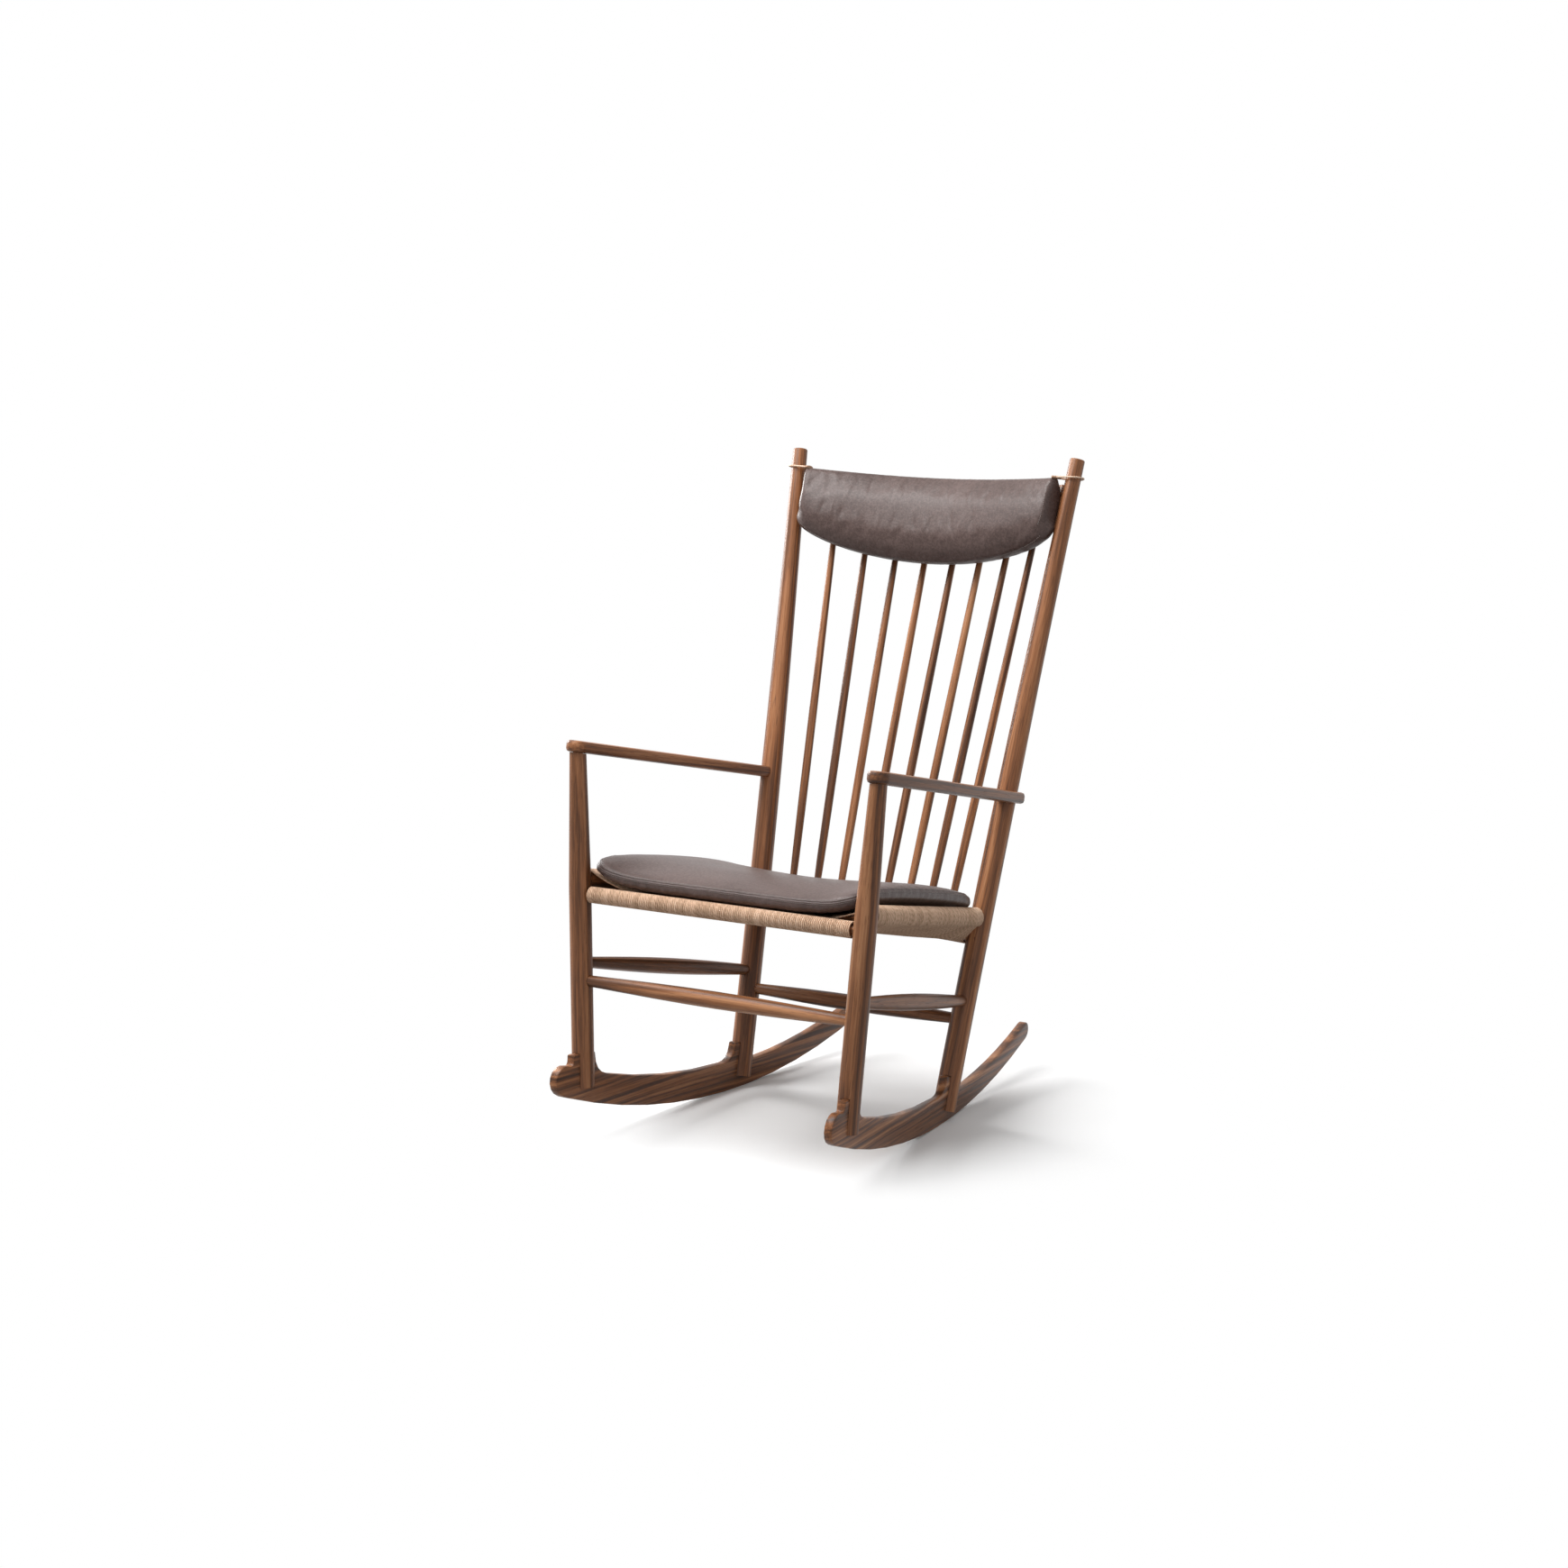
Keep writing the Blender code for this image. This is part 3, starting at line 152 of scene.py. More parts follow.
class Bench:
    """The node tree of one finish, round its Principled shader."""

    def __init__(self, name: str) -> None:
        """Start a material with a bare Principled shader.

        Args:
            name: The material's name.
        """
        self.material = bpy.data.materials.new(name)
        self.material.use_nodes = True
        self.tree = self.material.node_tree
        self.shader = self.tree.nodes["Principled BSDF"]

    def add(self, kind: str, settings: dict | None = None, inputs: dict | None = None,
            output: int | str = 0) -> Signal:
        """Add any node.

        Args:
            kind: The node's type, without its ShaderNode prefix.
            settings: The node's own settings, set first; stops are a ramp's places and colours.
            inputs: Values or links of its sockets, by name or number.
            output: The socket to hand on.

        Returns:
            The output as a signal.
        """
        node = self.tree.nodes.new("ShaderNode" + kind)
        for name, value in (settings or {}).items():
            if name == "stops":
                self.set_stops(node.color_ramp, value)
            else:
                setattr(node, name, value)
        for name, value in (inputs or {}).items():
            self.feed(node.inputs[name], value)
        return Signal(self, node.outputs[output])

    def feed(self, socket: bpy.types.NodeSocket, value: object) -> None:
        """Link a signal to a socket, or set the socket's own value.

        Args:
            socket: The input to fill.
            value: A signal, or a plain value.
        """
        if isinstance(value, Signal):
            self.tree.links.new(value.socket, socket)
        else:
            socket.default_value = value

    @staticmethod
    def set_stops(ramp: bpy.types.ColorRamp, stops: Sequence[tuple[float, Colour]]) -> None:
        """Give a colour ramp its stops.

        Args:
            ramp: The ramp to fill.
            stops: Places from 0 to 1 with their colours.
        """
        while len(ramp.elements) < len(stops):
            ramp.elements.new(1.0)
        for element, (place, colour) in zip(ramp.elements, stops):
            element.position = place
            element.color = (*colour, 1.0)

    def maths(self, operation: str, first: Signal | float, second: Signal | float = 0.0) -> Signal:
        """Add one Math node and hand on its result."""
        return self.add("Math", {"operation": operation}, {0: first, 1: second})

    def blend(self, mask: Signal, first: Signal | Colour, second: Signal | Colour) -> Signal:
        """Mix two colours, the first where the mask is 0 and the second where it is 1."""
        ends = [value if isinstance(value, Signal) else (*value, 1.0) for value in (first, second)]
        return self.add("Mix", {"data_type": "RGBA"}, {0: mask, 6: ends[0], 7: ends[1]}, output=2)

    def step(self, value: Signal, low: float, high: float) -> Signal:
        """A smooth step of a value, from 0 at low to 1 at high."""
        return self.add("MapRange", {"interpolation_type": "SMOOTHSTEP"},
                        {"Value": value, "From Min": low, "From Max": high})

    def noise(self, place: Signal, scale: Triple, detail: float = 2.0, roughness: float = 0.5) -> Signal:
        """Cloudy noise, drawn out by a scale on each axis.

        Args:
            place: The coordinates to read.
            scale: Cells per metre on each axis.
            detail: Octaves of finer noise.
            roughness: How strong the finer octaves are.

        Returns:
            The noise, about 0.5 on average.
        """
        drawn = self.add("VectorMath", {"operation": "MULTIPLY"}, {0: place, 1: scale})
        return self.add("TexNoise", None, {"Vector": drawn, "Scale": 1.0, "Detail": detail,
                                           "Roughness": roughness})

    def object_place(self) -> Signal:
        """The place on the piece in the chair's own frame."""
        return self.add("TexCoord", output="Object")

    def relief(self, height: Signal, strength: float, distance: float) -> None:
        """Bump the surface by a height from 0 to 1, where 1 is the distance in metres."""
        bump = self.add("Bump", None, {"Height": height, "Strength": strength, "Distance": distance})
        self.feed(self.shader.inputs["Normal"], bump)

    def surface(self, **sockets: object) -> None:
        """Fill sockets of the shader by name, with words joined by an underscore."""
        for name, value in sockets.items():
            self.feed(self.shader.inputs[name.replace("_", " ").title().replace("Ior", "IOR")], value)


@dataclass(frozen=True)
class Walnut:
    """Oiled walnut, whose grain runs along the piece."""

    dark: Colour = (0.036, 0.0130, 0.0055)
    brown: Colour = (0.118, 0.044, 0.0165)
    warm: Colour = (0.262, 0.103, 0.040)
    pale: Colour = (0.450, 0.210, 0.098)
    ring_spacing: float = 0.0046
    ring_waver: float = 0.020
    roughness: float = 0.37
    specular: float = 0.30
    shares: Triple = (0.38, 0.40, 0.22)
    stops: tuple[float, ...] = (0.36, 0.46, 0.54, 0.66)
    shift_turns: Pair = (12.9, 7.3)
    shift_reach: float = 0.4
    shift_climb: float = 0.61
    waver_cells: Triple = (7.0, 7.0, 1.3)
    ring_cells: float = 0.6
    streak_cells: Triple = (55.0, 55.0, 2.2)
    fibre_cells: Triple = (420.0, 420.0, 9.0)
    pore_cells: Triple = (1100.0, 1100.0, 32.0)
    pore_edges: Pair = (0.60, 0.70)
    pore_depth: float = 0.55
    fibre_rough: float = 0.16
    pore_rough: float = 0.12
    relief: Pair = (0.22, 0.0004)

    def material(self, name: str, along: Vector, seed: float, tone: Tone) -> bpy.types.Material:
        """Make the finish of one piece.

        Args:
            name: The material's name.
            along: The direction of the grain.
            seed: Moves the figure, so that no two pieces match.
            tone: How dark the piece is.

        Returns:
            The material.
        """
        bench = Bench(name)
        turn = along.rotation_difference(UP).to_euler()
        sine, cosine = self.shift_turns
        shift = (math.sin(seed * sine) * self.shift_reach, math.cos(seed * cosine) * self.shift_reach,
                 seed * self.shift_climb)
        place = bench.add("Mapping", None,
                          {"Vector": bench.object_place(), "Rotation": turn, "Location": shift})
        waver = bench.noise(place, self.waver_cells, 3.0)
        flat = bench.add("VectorMath", {"operation": "MULTIPLY"}, {0: place, 1: (1.0, 1.0, 0.0)})
        reach = bench.add("VectorMath", {"operation": "LENGTH"}, {0: flat}, output="Value")
        rings = bench.add("TexNoise", {"noise_dimensions": "1D"},
                          {"W": (reach + waver * self.ring_waver * 2.0) / self.ring_spacing,
                           "Scale": self.ring_cells, "Detail": 2.0})
        streaks = bench.noise(place, self.streak_cells, 4.0, 0.6)
        fibres = bench.noise(place, self.fibre_cells, 3.0, 0.6)
        ring_share, streak_share, fibre_share = self.shares
        figure = rings * ring_share + streaks * streak_share + fibres * fibre_share
        shades = [tuple(part * tone.value for part in shade)
                  for shade in (self.dark, self.brown, self.warm, self.pale)]
        colour = bench.add("ValToRGB", {"stops": list(zip(self.stops, shades))}, {"Fac": figure})
        pores = bench.step(bench.noise(place, self.pore_cells, 1.0), *self.pore_edges)
        bench.surface(base_color=bench.blend(pores * self.pore_depth, colour, shades[0]),
                      roughness=(self.roughness + fibres * self.fibre_rough - self.fibre_rough / 2
                                 + pores * self.pore_rough),
                      specular_ior_level=self.specular)
        bench.relief(fibres * 0.5 - pores * 0.5, *self.relief)
        return bench.material


@dataclass(frozen=True)
class Leather:
    """Taupe brown leather with a fine grain and a soft sheen."""

    deep: Colour = (0.046, 0.0275, 0.0235)
    middle: Colour = (0.080, 0.0510, 0.0450)
    worn: Colour = (0.118, 0.0800, 0.0720)
    roughness: float = 0.43
    specular: float = 0.32
    grain_cells: float = 760.0
    shares: Triple = (0.40, 0.25, 0.35)
    stops: Triple = (0.32, 0.50, 0.72)
    cloud_cells: float = 9.0
    mottle_cells: float = 130.0
    crease_cells: float = 240.0
    crease_edges: Pair = (0.42, 0.62)
    grain_mix: Pair = (0.6, 0.4)
    cloud_rough: float = 0.10
    grain_rough: float = 0.08
    relief_mix: Pair = (0.7, 0.3)
    relief: Pair = (0.30, 0.0005)

    def material(self, name: str, shade: float = 1.0) -> bpy.types.Material:
        """Make the finish.

        Args:
            name: The material's name.
            shade: Lightens or darkens the whole hide.

        Returns:
            The material.
        """
        bench = Bench(name)
        place = bench.object_place()
        cloud = bench.noise(place, (self.cloud_cells,) * 3, 4.0, 0.6)
        mottle = bench.noise(place, (self.mottle_cells,) * 3, 3.0)
        cells = bench.add("TexVoronoi", {"feature": "SMOOTH_F1"},
                          {"Vector": place, "Scale": self.grain_cells, "Smoothness": 0.6})
        creases = bench.step(bench.noise(place, (self.crease_cells,) * 3, 5.0, 0.65), *self.crease_edges)
        grain = (1.0 - cells) * self.grain_mix[0] + creases * self.grain_mix[1]
        shades = [tuple(part * shade for part in tint) for tint in (self.deep, self.middle, self.worn)]
        cloud_share, mottle_share, grain_share = self.shares
        colour = bench.add("ValToRGB", {"stops": list(zip(self.stops, shades))},
                           {"Fac": cloud * cloud_share + mottle * mottle_share + grain * grain_share})
        bench.surface(base_color=colour, specular_ior_level=self.specular,
                      roughness=(self.roughness + cloud * self.cloud_rough - self.cloud_rough / 2
                                 - grain * self.grain_rough))
        bench.relief(grain * self.relief_mix[0] + mottle * self.relief_mix[1], *self.relief)
        return bench.material


@dataclass(frozen=True)
class PaperCord:
    """Twisted paper cord, each strand a little different."""

    shade: Colour = (0.300, 0.180, 0.108)
    tan: Colour = (0.660, 0.442, 0.302)
    pale: Colour = (0.880, 0.675, 0.520)
    lay: float = 0.0080
    plies: float = 2.0
    shares: tuple[float, ...] = (0.20, 0.14, 0.50, 0.16)
    stops: Triple = (0.22, 0.52, 0.80)
    fibre_cells: float = 800.0
    cloud_cells: float = 22.0
    roughness: float = 0.72
    fibre_rough: float = 0.2
    specular: float = 0.3
    relief_mix: Pair = (0.3, 0.7)
    relief: Pair = (0.20, 0.0003)

    def material(self, name: str) -> bpy.types.Material:
        """Make the finish, which reads the strand's own UV map and tone.

        Args:
            name: The material's name.

        Returns:
            The material.
        """
        bench = Bench(name)
        run = bench.add("SeparateXYZ", None, {"Vector": bench.add("UVMap", {"uv_map": "UVMap"})})
        around = Signal(bench, run.socket.node.outputs["Y"])
        twist_bump_and_groove_shade = bench.maths("SINE", (run / self.lay + around * self.plies) * (2.0 * math.pi)) * 0.5 + 0.5
        tone = bench.add("Attribute", {"attribute_name": "strand_tone"}, output="Fac")
        fibre = bench.noise(bench.object_place(), (self.fibre_cells,) * 3, 3.0, 0.6)
        cloud = bench.noise(bench.object_place(), (self.cloud_cells,) * 3, 2.0)
        tone_share, cloud_share, fibre_share, groove_shade_share = self.shares
        # In the colour, the twist's dark stripes are painted shade in the grooves between the plies; in the
        # relief, the twist is a real bump.
        body = tone * tone_share + cloud * cloud_share + fibre * fibre_share + twist_bump_and_groove_shade * groove_shade_share
        stops = list(zip(self.stops, (self.shade, self.tan, self.pale)))
        bench.surface(base_color=bench.add("ValToRGB", {"stops": stops}, {"Fac": body}),
                      roughness=self.roughness + fibre * self.fibre_rough,
                      specular_ior_level=self.specular)
        bench.relief(twist_bump_and_groove_shade * self.relief_mix[0] + fibre * self.relief_mix[1], *self.relief)
        return bench.material


@dataclass(frozen=True)
class Mottled:
    """A small part's finish in two tones: undyed or tan leather lace, or waxed thread."""

    dark: Colour
    light: Colour
    cells: float
    detail: float
    grit: float
    edges: Pair
    roughness: float
    depth: float
    mottle_rough: float = 0.2
    strength: float = 0.3

    def material(self, name: str) -> bpy.types.Material:
        """Make the finish.

        Args:
            name: The material's name.

        Returns:
            The material.
        """
        bench = Bench(name)
        mottle = bench.noise(bench.object_place(), (self.cells,) * 3, self.detail, self.grit)
        bench.surface(base_color=bench.blend(bench.step(mottle, *self.edges), self.dark, self.light),
                      roughness=self.roughness + mottle * self.mottle_rough)
        bench.relief(mottle, self.strength, self.depth)
        return bench.material


PALE_LACE = Mottled((0.470, 0.300, 0.195), (0.760, 0.575, 0.440), 420.0, 4.0, 0.6, (0.32, 0.66), 0.5, 0.0004)
TAN_LACE = replace(PALE_LACE, dark=(0.235, 0.125, 0.070), light=(0.440, 0.280, 0.180))
THREAD = Mottled((0.120, 0.098, 0.090), (0.330, 0.285, 0.265), 1500.0, 2.0, 0.5, (0.35, 0.65), 0.45, 0.0002)


@dataclass(frozen=True)
class Skeleton:
    """Axes of legs, posts and rails, in the CAD frame, for the left half."""

    leg_foot: Triple = (0.2398, -0.3605, 0.0)
    leg_head: Triple = (0.2760, -0.3154, 0.6325)
    leg_radius: float = 0.0181
    post_foot: Triple = (0.1983, 0.0374, 0.0)
    post_head: Triple = (0.2695, 0.3580, 1.070)
    post_bow: float = 0.0042
    post_seat_radius: float = 0.0184
    post_head_radius: float = 0.0129
    corner_gap: float = 0.0025
    front_rail_z: float = 0.3984
    back_rail_z: float = 0.2950
    side_rail_front_z: float = 0.4234
    side_rail_back_z: float = 0.3265
    back_rail_bow: float = 0.0253
    back_rail_forward: float = 0.0100
    roll: float = 0.0135
    side_roll: float = 0.0165
    saddle_power: float = 2.0
    saddle_end_power: float = 6.0

    def leg(self, height: float) -> Vector:
        """Point on the left front leg's axis."""
        return Vector(self.leg_foot).lerp(Vector(self.leg_head), height / self.leg_head[2])

    def post(self, height: float) -> Vector:
        """Point on the left back post's axis, which bows inwards.

        Args:
            height: Height above the floor.

        Returns:
            The point.
        """
        share = height / self.post_head[2]
        place = Vector(self.post_foot).lerp(Vector(self.post_head), share)
        place.x -= self.post_bow * 4.0 * share * (1.0 - share)
        return place

    def side_rail(self, along_y: float) -> Vector:
        """Point on the left side rail's axis.

        Args:
            along_y: Place along the chair.

        Returns:
            The point.
        """
        front = self.leg(self.side_rail_front_z)
        back = self.post(self.side_rail_back_z)
        return front.lerp(back, (along_y - front.y) / (back.y - front.y))

    def front_rail(self, across: float) -> Vector:
        """Point on the front rail's axis."""
        return Vector((across, self.leg(self.front_rail_z).y, self.front_rail_z))

    def back_rail(self, across: float) -> Vector:
        """Point on the bowed back rail's axis.

        Args:
            across: Place across the chair.

        Returns:
            The point.
        """
        end = self.post(self.back_rail_z)
        bow = self.back_rail_bow * (1.0 - (across / end.x) ** 2)
        return Vector((across, end.y - self.back_rail_forward + bow, self.back_rail_z))

    def middle_z(self, across: float, along_y: float) -> float:
        """Height of the saddle between the rails.

        Args:
            across: Place across the chair.
            along_y: Place along the chair.

        Returns:
            The height of the weave's middle surface.
        """
        front = self.front_rail(0.0).y
        back = self.back_rail(min(abs(across), self.post(self.back_rail_z).x)).y
        share = min(max((along_y - front) / (back - front), 0.0), 1.0)
        side = self.side_rail(along_y)
        middle = self.front_rail_z + (self.back_rail_z - self.front_rail_z) * share
        power = self.saddle_power + self.saddle_end_power * (2.0 * share - 1.0) ** 2
        return middle + (side.z - middle) * min(abs(across) / side.x, 1.0) ** power


def link(name: str, data: bpy.types.ID) -> bpy.types.Object:
    """Put data in the scene as an object.

    Args:
        name: The object's name.
        data: Its mesh, curve, light or camera.

    Returns:
        The object.
    """
    item = bpy.data.objects.new(name, data)
    bpy.context.scene.collection.objects.link(item)
    return item


def mesh_of(shape: bmesh.types.BMesh, name: str) -> bpy.types.Mesh:
    """Turn a finished shape into a smoothly shaded mesh.

    Args:
        shape: The shape, which is freed.
        name: The mesh's name.

    Returns:
        The mesh.
    """
    mesh = bpy.data.meshes.new(name)
    shape.to_mesh(mesh)
    shape.free()
    mesh.shade_smooth()
    return mesh


def new_piece(name: str, mesh: bpy.types.Mesh, material: bpy.types.Material, body: Body) -> bpy.types.Object:
    """Put a mesh in the scene as a piece that rides on a body.

    Args:
        name: The piece's name.
        mesh: Its mesh, already in place.
        material: Its finish.
        body: The CAD body it rides on.

    Returns:
        The piece.
    """
    mesh.materials.clear()
    mesh.materials.append(material)
    piece = link(name, mesh)
    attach(piece, body.value)
    LOG.info("%s: %d faces on %s", name, len(mesh.polygons), body.value)
    return piece


def welded_copy(node: bpy.types.Object, name: str) -> bpy.types.Mesh:
    """Copy a CAD node's mesh with its loose triangles joined.

    Args:
        node: The CAD node.
        name: The new mesh's name.

    Returns:
        The joined mesh.
    """
    shape = bmesh.new()
    shape.from_mesh(node.data)
    bmesh.ops.remove_doubles(shape, verts=shape.verts, dist=1e-5)
    mesh = mesh_of(shape, name)
    stale = mesh.attributes.get("custom_normal")
    if stale:
        mesh.attributes.remove(stale)
    return mesh


def tube_mesh(name: str, runs: Iterable[Sequence[Vector]], radius: float, rounds: int = 1,
              closed: bool = False) -> bpy.types.Mesh:
    """Tubes along runs of points, closed at their ends, with a UV map along each run.

    Args:
        name: The mesh's name.
        runs: The points of each tube.
        radius: The tubes' radius.
        rounds: How finely each tube is rounded.
        closed: Whether each tube closes on itself.

    Returns:
        The mesh.
    """
    path = bpy.data.curves.new(name + "_path", "CURVE")
    path.dimensions = "3D"
    path.bevel_depth = radius
    path.bevel_resolution = rounds
    for run in runs:
        spline = path.splines.new("POLY")
        spline.points.add(len(run) - 1)
        for point, place in zip(spline.points, run):
            point.co = (*place, 1.0)
        spline.use_cyclic_u = closed
    guide = link(name + "_guide", path)
    mesh = bpy.data.meshes.new_from_object(guide.evaluated_get(bpy.context.evaluated_depsgraph_get()))
    mesh.name = name
    bpy.data.objects.remove(guide)
    shape = bmesh.new()
    shape.from_mesh(mesh)
    bmesh.ops.holes_fill(shape, edges=shape.edges, sides=0)
    shape.to_mesh(mesh)
    shape.free()
    mesh.shade_smooth()
    return mesh


def spread(first: float, last: float, count: int) -> list[float]:
    """Evenly spaced values from first to last."""
    return [first + (last - first) * index / (count - 1) for index in range(count)]


@dataclass
class WoodFrame:
    """The wooden members: CAD shapes, joined and smoothly shaded, in walnut."""

    walnut: Walnut = field(default_factory=Walnut)
    round_angle: float = math.radians(34.0)
    board_slant: float = math.radians(4.0)
    first_seed: float = 0.5
    seed_step: float = 1.37
    tones: dict[str, Tone] = field(default_factory=lambda: {
        "rocker": Tone.MIDDLE, "front_leg": Tone.DARK, "side_stretcher": Tone.DARK,
        "back_stretcher": Tone.DARK, "spindle": Tone.LIGHT, "back_post": Tone.LIGHT})

    def grain(self, name: str, mesh: bpy.types.Mesh) -> Vector:
        """Direction of a member's grain: along it, and a little aslant on the rockers.

        Args:
            name: The node's name.
            mesh: The node's mesh.

        Returns:
            A unit vector.
        """
        places = np.array([vert.co for vert in mesh.vertices])
        _, axes = np.linalg.eigh(np.cov((places - places.mean(0)).T))
        along = Vector(axes[:, 2])
        if name.startswith("rocker"):
            along = Matrix.Rotation(self.board_slant, 3, "X") @ along
        return along

    def tone(self, name: str) -> Tone:
        """How dark a member is."""
        return next((tone for start, tone in self.tones.items() if name.startswith(start)), Tone.MIDDLE)

    def build(self, nodes: dict[str, bpy.types.Object], names: Iterable[str]) -> None:
        """Dress every wooden node.

        Args:
            nodes: The CAD nodes by name.
            names: The wooden ones.
        """
        for index, name in enumerate(names):
            mesh = welded_copy(nodes[name], name + "_walnut")
            mesh.set_sharp_from_angle(angle=self.round_angle)
            seed = index * self.seed_step + self.first_seed
            finish = self.walnut.material(name + "_walnut", self.grain(name, mesh), seed, self.tone(name))
            piece = new_piece(name + "_walnut", mesh, finish, Body.FRAME)
            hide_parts(name)


@dataclass
class WovenSeat:
    """The seat's paper cord, strand by strand, in four fields that meet along mitres."""

    bones: Skeleton
    cord: PaperCord = field(default_factory=PaperCord)
    pitch: float = 0.0034
    strand_radius: float = 0.00153
    spindle_pitch: float = 0.0434
    spindle_half_count: int = 4
    spindle_room: float = 0.0068
    dip: float = 0.0030
    open_corner: float = 0.050
    sag_length: float = 0.12
    flat_points: int = 5
    wrap_points: int = 9
    short_strand: float = 0.03
    seed: int = 7

    def __post_init__(self) -> None:
        """Work out where the strands of each rail start."""
        bones = self.bones
        self.front_half = bones.leg(bones.front_rail_z).x - bones.leg_radius - bones.corner_gap
        self.back_half = bones.post(bones.back_rail_z).x - bones.post_seat_radius - bones.corner_gap
        self.side_start = bones.leg(bones.side_rail_front_z).y + bones.leg_radius + bones.corner_gap
        self.side_end = bones.post(bones.side_rail_back_z).y - bones.post_seat_radius - bones.corner_gap
        self.front_count = int(2.0 * self.front_half / self.pitch)
        self.back_count = int(2.0 * self.back_half / self.pitch)
        self.side_count = int((self.side_end - self.side_start) / self.pitch)

    def lay(self, start: Vector, axis: Vector, roll: Vector, power: float = 1.0) -> list[Vector]:
        """One strand: along the top to its rail, round the rail, and back below.

        Args:
            start: The mitre where the strand begins, in plan.
            axis: The rail's axis where the strand goes round it.
            roll: The outward reach and the height of the rail's roll.
            power: How the strand sags between its ends, 1 for straight.

        Returns:
            The strand's points.
        """
        bones = self.bones
        out = Vector((axis.x - start.x, axis.y - start.y, 0.0))
        length = out.length
        out.normalize()
        reach = roll.x - self.strand_radius
        rise = roll.z - self.strand_radius
        mitre = bones.middle_z(0.0, start.y)
        shares = spread(0.0, 1.0, self.flat_points)[:-1] if length > self.short_strand else [0.0, 0.5]
        flat = []
        for share in shares:
            place = start.lerp(axis, share)
            place.z = mitre + (axis.z - mitre) * share ** power
            flat.append(place)
        top = [place + UP * rise for place in flat]
        top[0].z -= self.dip
        below = [place - UP * rise for place in reversed(flat)]
        below[-1].z += self.dip
        turns = spread(0.0, math.pi, self.wrap_points)
        wrap = [axis + out * (reach * math.sin(turn)) + UP * (rise * math.cos(turn)) for turn in turns]
        return top + wrap + below

    def front_strands(self) -> list[list[Vector]]:
        """Strands over the front rail.

        Returns:
            The strands' points.
        """
        runs = []
        step = 2.0 * self.front_half / self.front_count
        for index in range(self.front_count):
            across = -self.front_half + (index + 0.5) * step
            inside = 1.0 - abs(across) / (self.front_half - self.open_corner)
            depth = max(inside * (self.side_end - self.side_start) / 2, self.pitch / 2)
            axis = self.bones.front_rail(across)
            start = Vector((across, self.side_start + depth, 0.0))
            runs.append(self.lay(start, axis, Vector((self.bones.roll, 0.0, self.bones.roll))))
        return runs

    def back_strands(self) -> list[list[Vector]]:
        """Strands over the back rail, between the spindles.

        Returns:
            The strands' points.
        """
        runs = []
        step = 2.0 * self.back_half / self.back_count
        spindles = [(index + 0.5) * self.spindle_pitch for index in range(self.spindle_half_count)]
        for index in range(self.back_count):
            across = -self.back_half + (index + 0.5) * step
            if min(abs(abs(across) - spindle) for spindle in spindles) < self.spindle_room:
                continue
            depth = max((1.0 - abs(across) / self.back_half) * (self.side_end - self.side_start) / 2,
                        self.pitch / 2)
            axis = self.bones.back_rail(across)
            start = Vector((across, self.side_end - depth, 0.0))
            runs.append(self.lay(start, axis, Vector((self.bones.roll, 0.0, self.bones.roll))))
        return runs

    def side_strands(self, side: Side) -> list[list[Vector]]:
        """Strands over one side rail.

        Args:
            side: The side of the chair.

        Returns:
            The strands' points.
        """
        runs = []
        step = (self.side_end - self.side_start) / self.side_count
        roll = Vector((self.bones.roll, 0.0, self.bones.side_roll))
        for index in range(self.side_count):
            along = self.side_start + (index + 0.5) * step
            from_back = self.side_count - 1 - index
            if index <= from_back:
                inner = (self.front_half - self.open_corner) * (1.0 - 2.0 * (index + 0.5) / self.side_count)
            else:
                inner = self.back_half * (1.0 - 2.0 * (from_back + 0.5) / self.side_count)
            inner = max(inner, self.pitch / 2)
            axis = self.bones.side_rail(along)
            power = 1.0 + min((axis.x - inner) / self.sag_length, 1.0)
            run = self.lay(Vector((inner, along, 0.0)), axis, roll, power)
            runs.append([Vector((place.x * side.value, place.y, place.z)) for place in run])
        return runs

    def build(self) -> None:
        """Make the strands and dress them."""
        runs = self.front_strands() + self.back_strands()
        for side in Side:
            runs += self.side_strands(side)
        mesh = tube_mesh("woven_seat_cord", runs, self.strand_radius)
        self.mark_strands(mesh, runs)
        piece = new_piece("woven_seat_cord", mesh, self.cord.material("paper_cord"), Body.FRAME)
        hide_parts("woven_seat")

    def mark_strands(self, mesh: bpy.types.Mesh, runs: Sequence[Sequence[Vector]]) -> None:
        """Give each strand a tone of its own, and its UV map a length in metres from a start of its own.

        Args:
            mesh: The strands' mesh, one tube after another.
            runs: The strands' points.
        """
        chance = random.Random(self.seed)
        sides = len(mesh.vertices) // sum(len(run) for run in runs)
        tones = []
        lengths = []
        for run in runs:
            tones += [chance.random()] * (len(run) * sides)
            travelled = chance.random()
            for first, last in zip(run, [*run[1:], run[-1]]):
                lengths += [travelled] * sides
                travelled += (last - first).length
        mesh.attributes.new("strand_tone", "FLOAT", "POINT").data.foreach_set("value", tones)
        chart = mesh.uv_layers["UVMap"].data
        for loop in mesh.loops:
            chart[loop.index].uv.x = lengths[loop.vertex_index]


@dataclass(frozen=True)
class Fold:
    """A soft ridge or dent of the hide; run and cross are as long as its half length and half width."""

    centre: Vector
    run: Vector
    cross: Vector
    facing: Vector
    depth: float


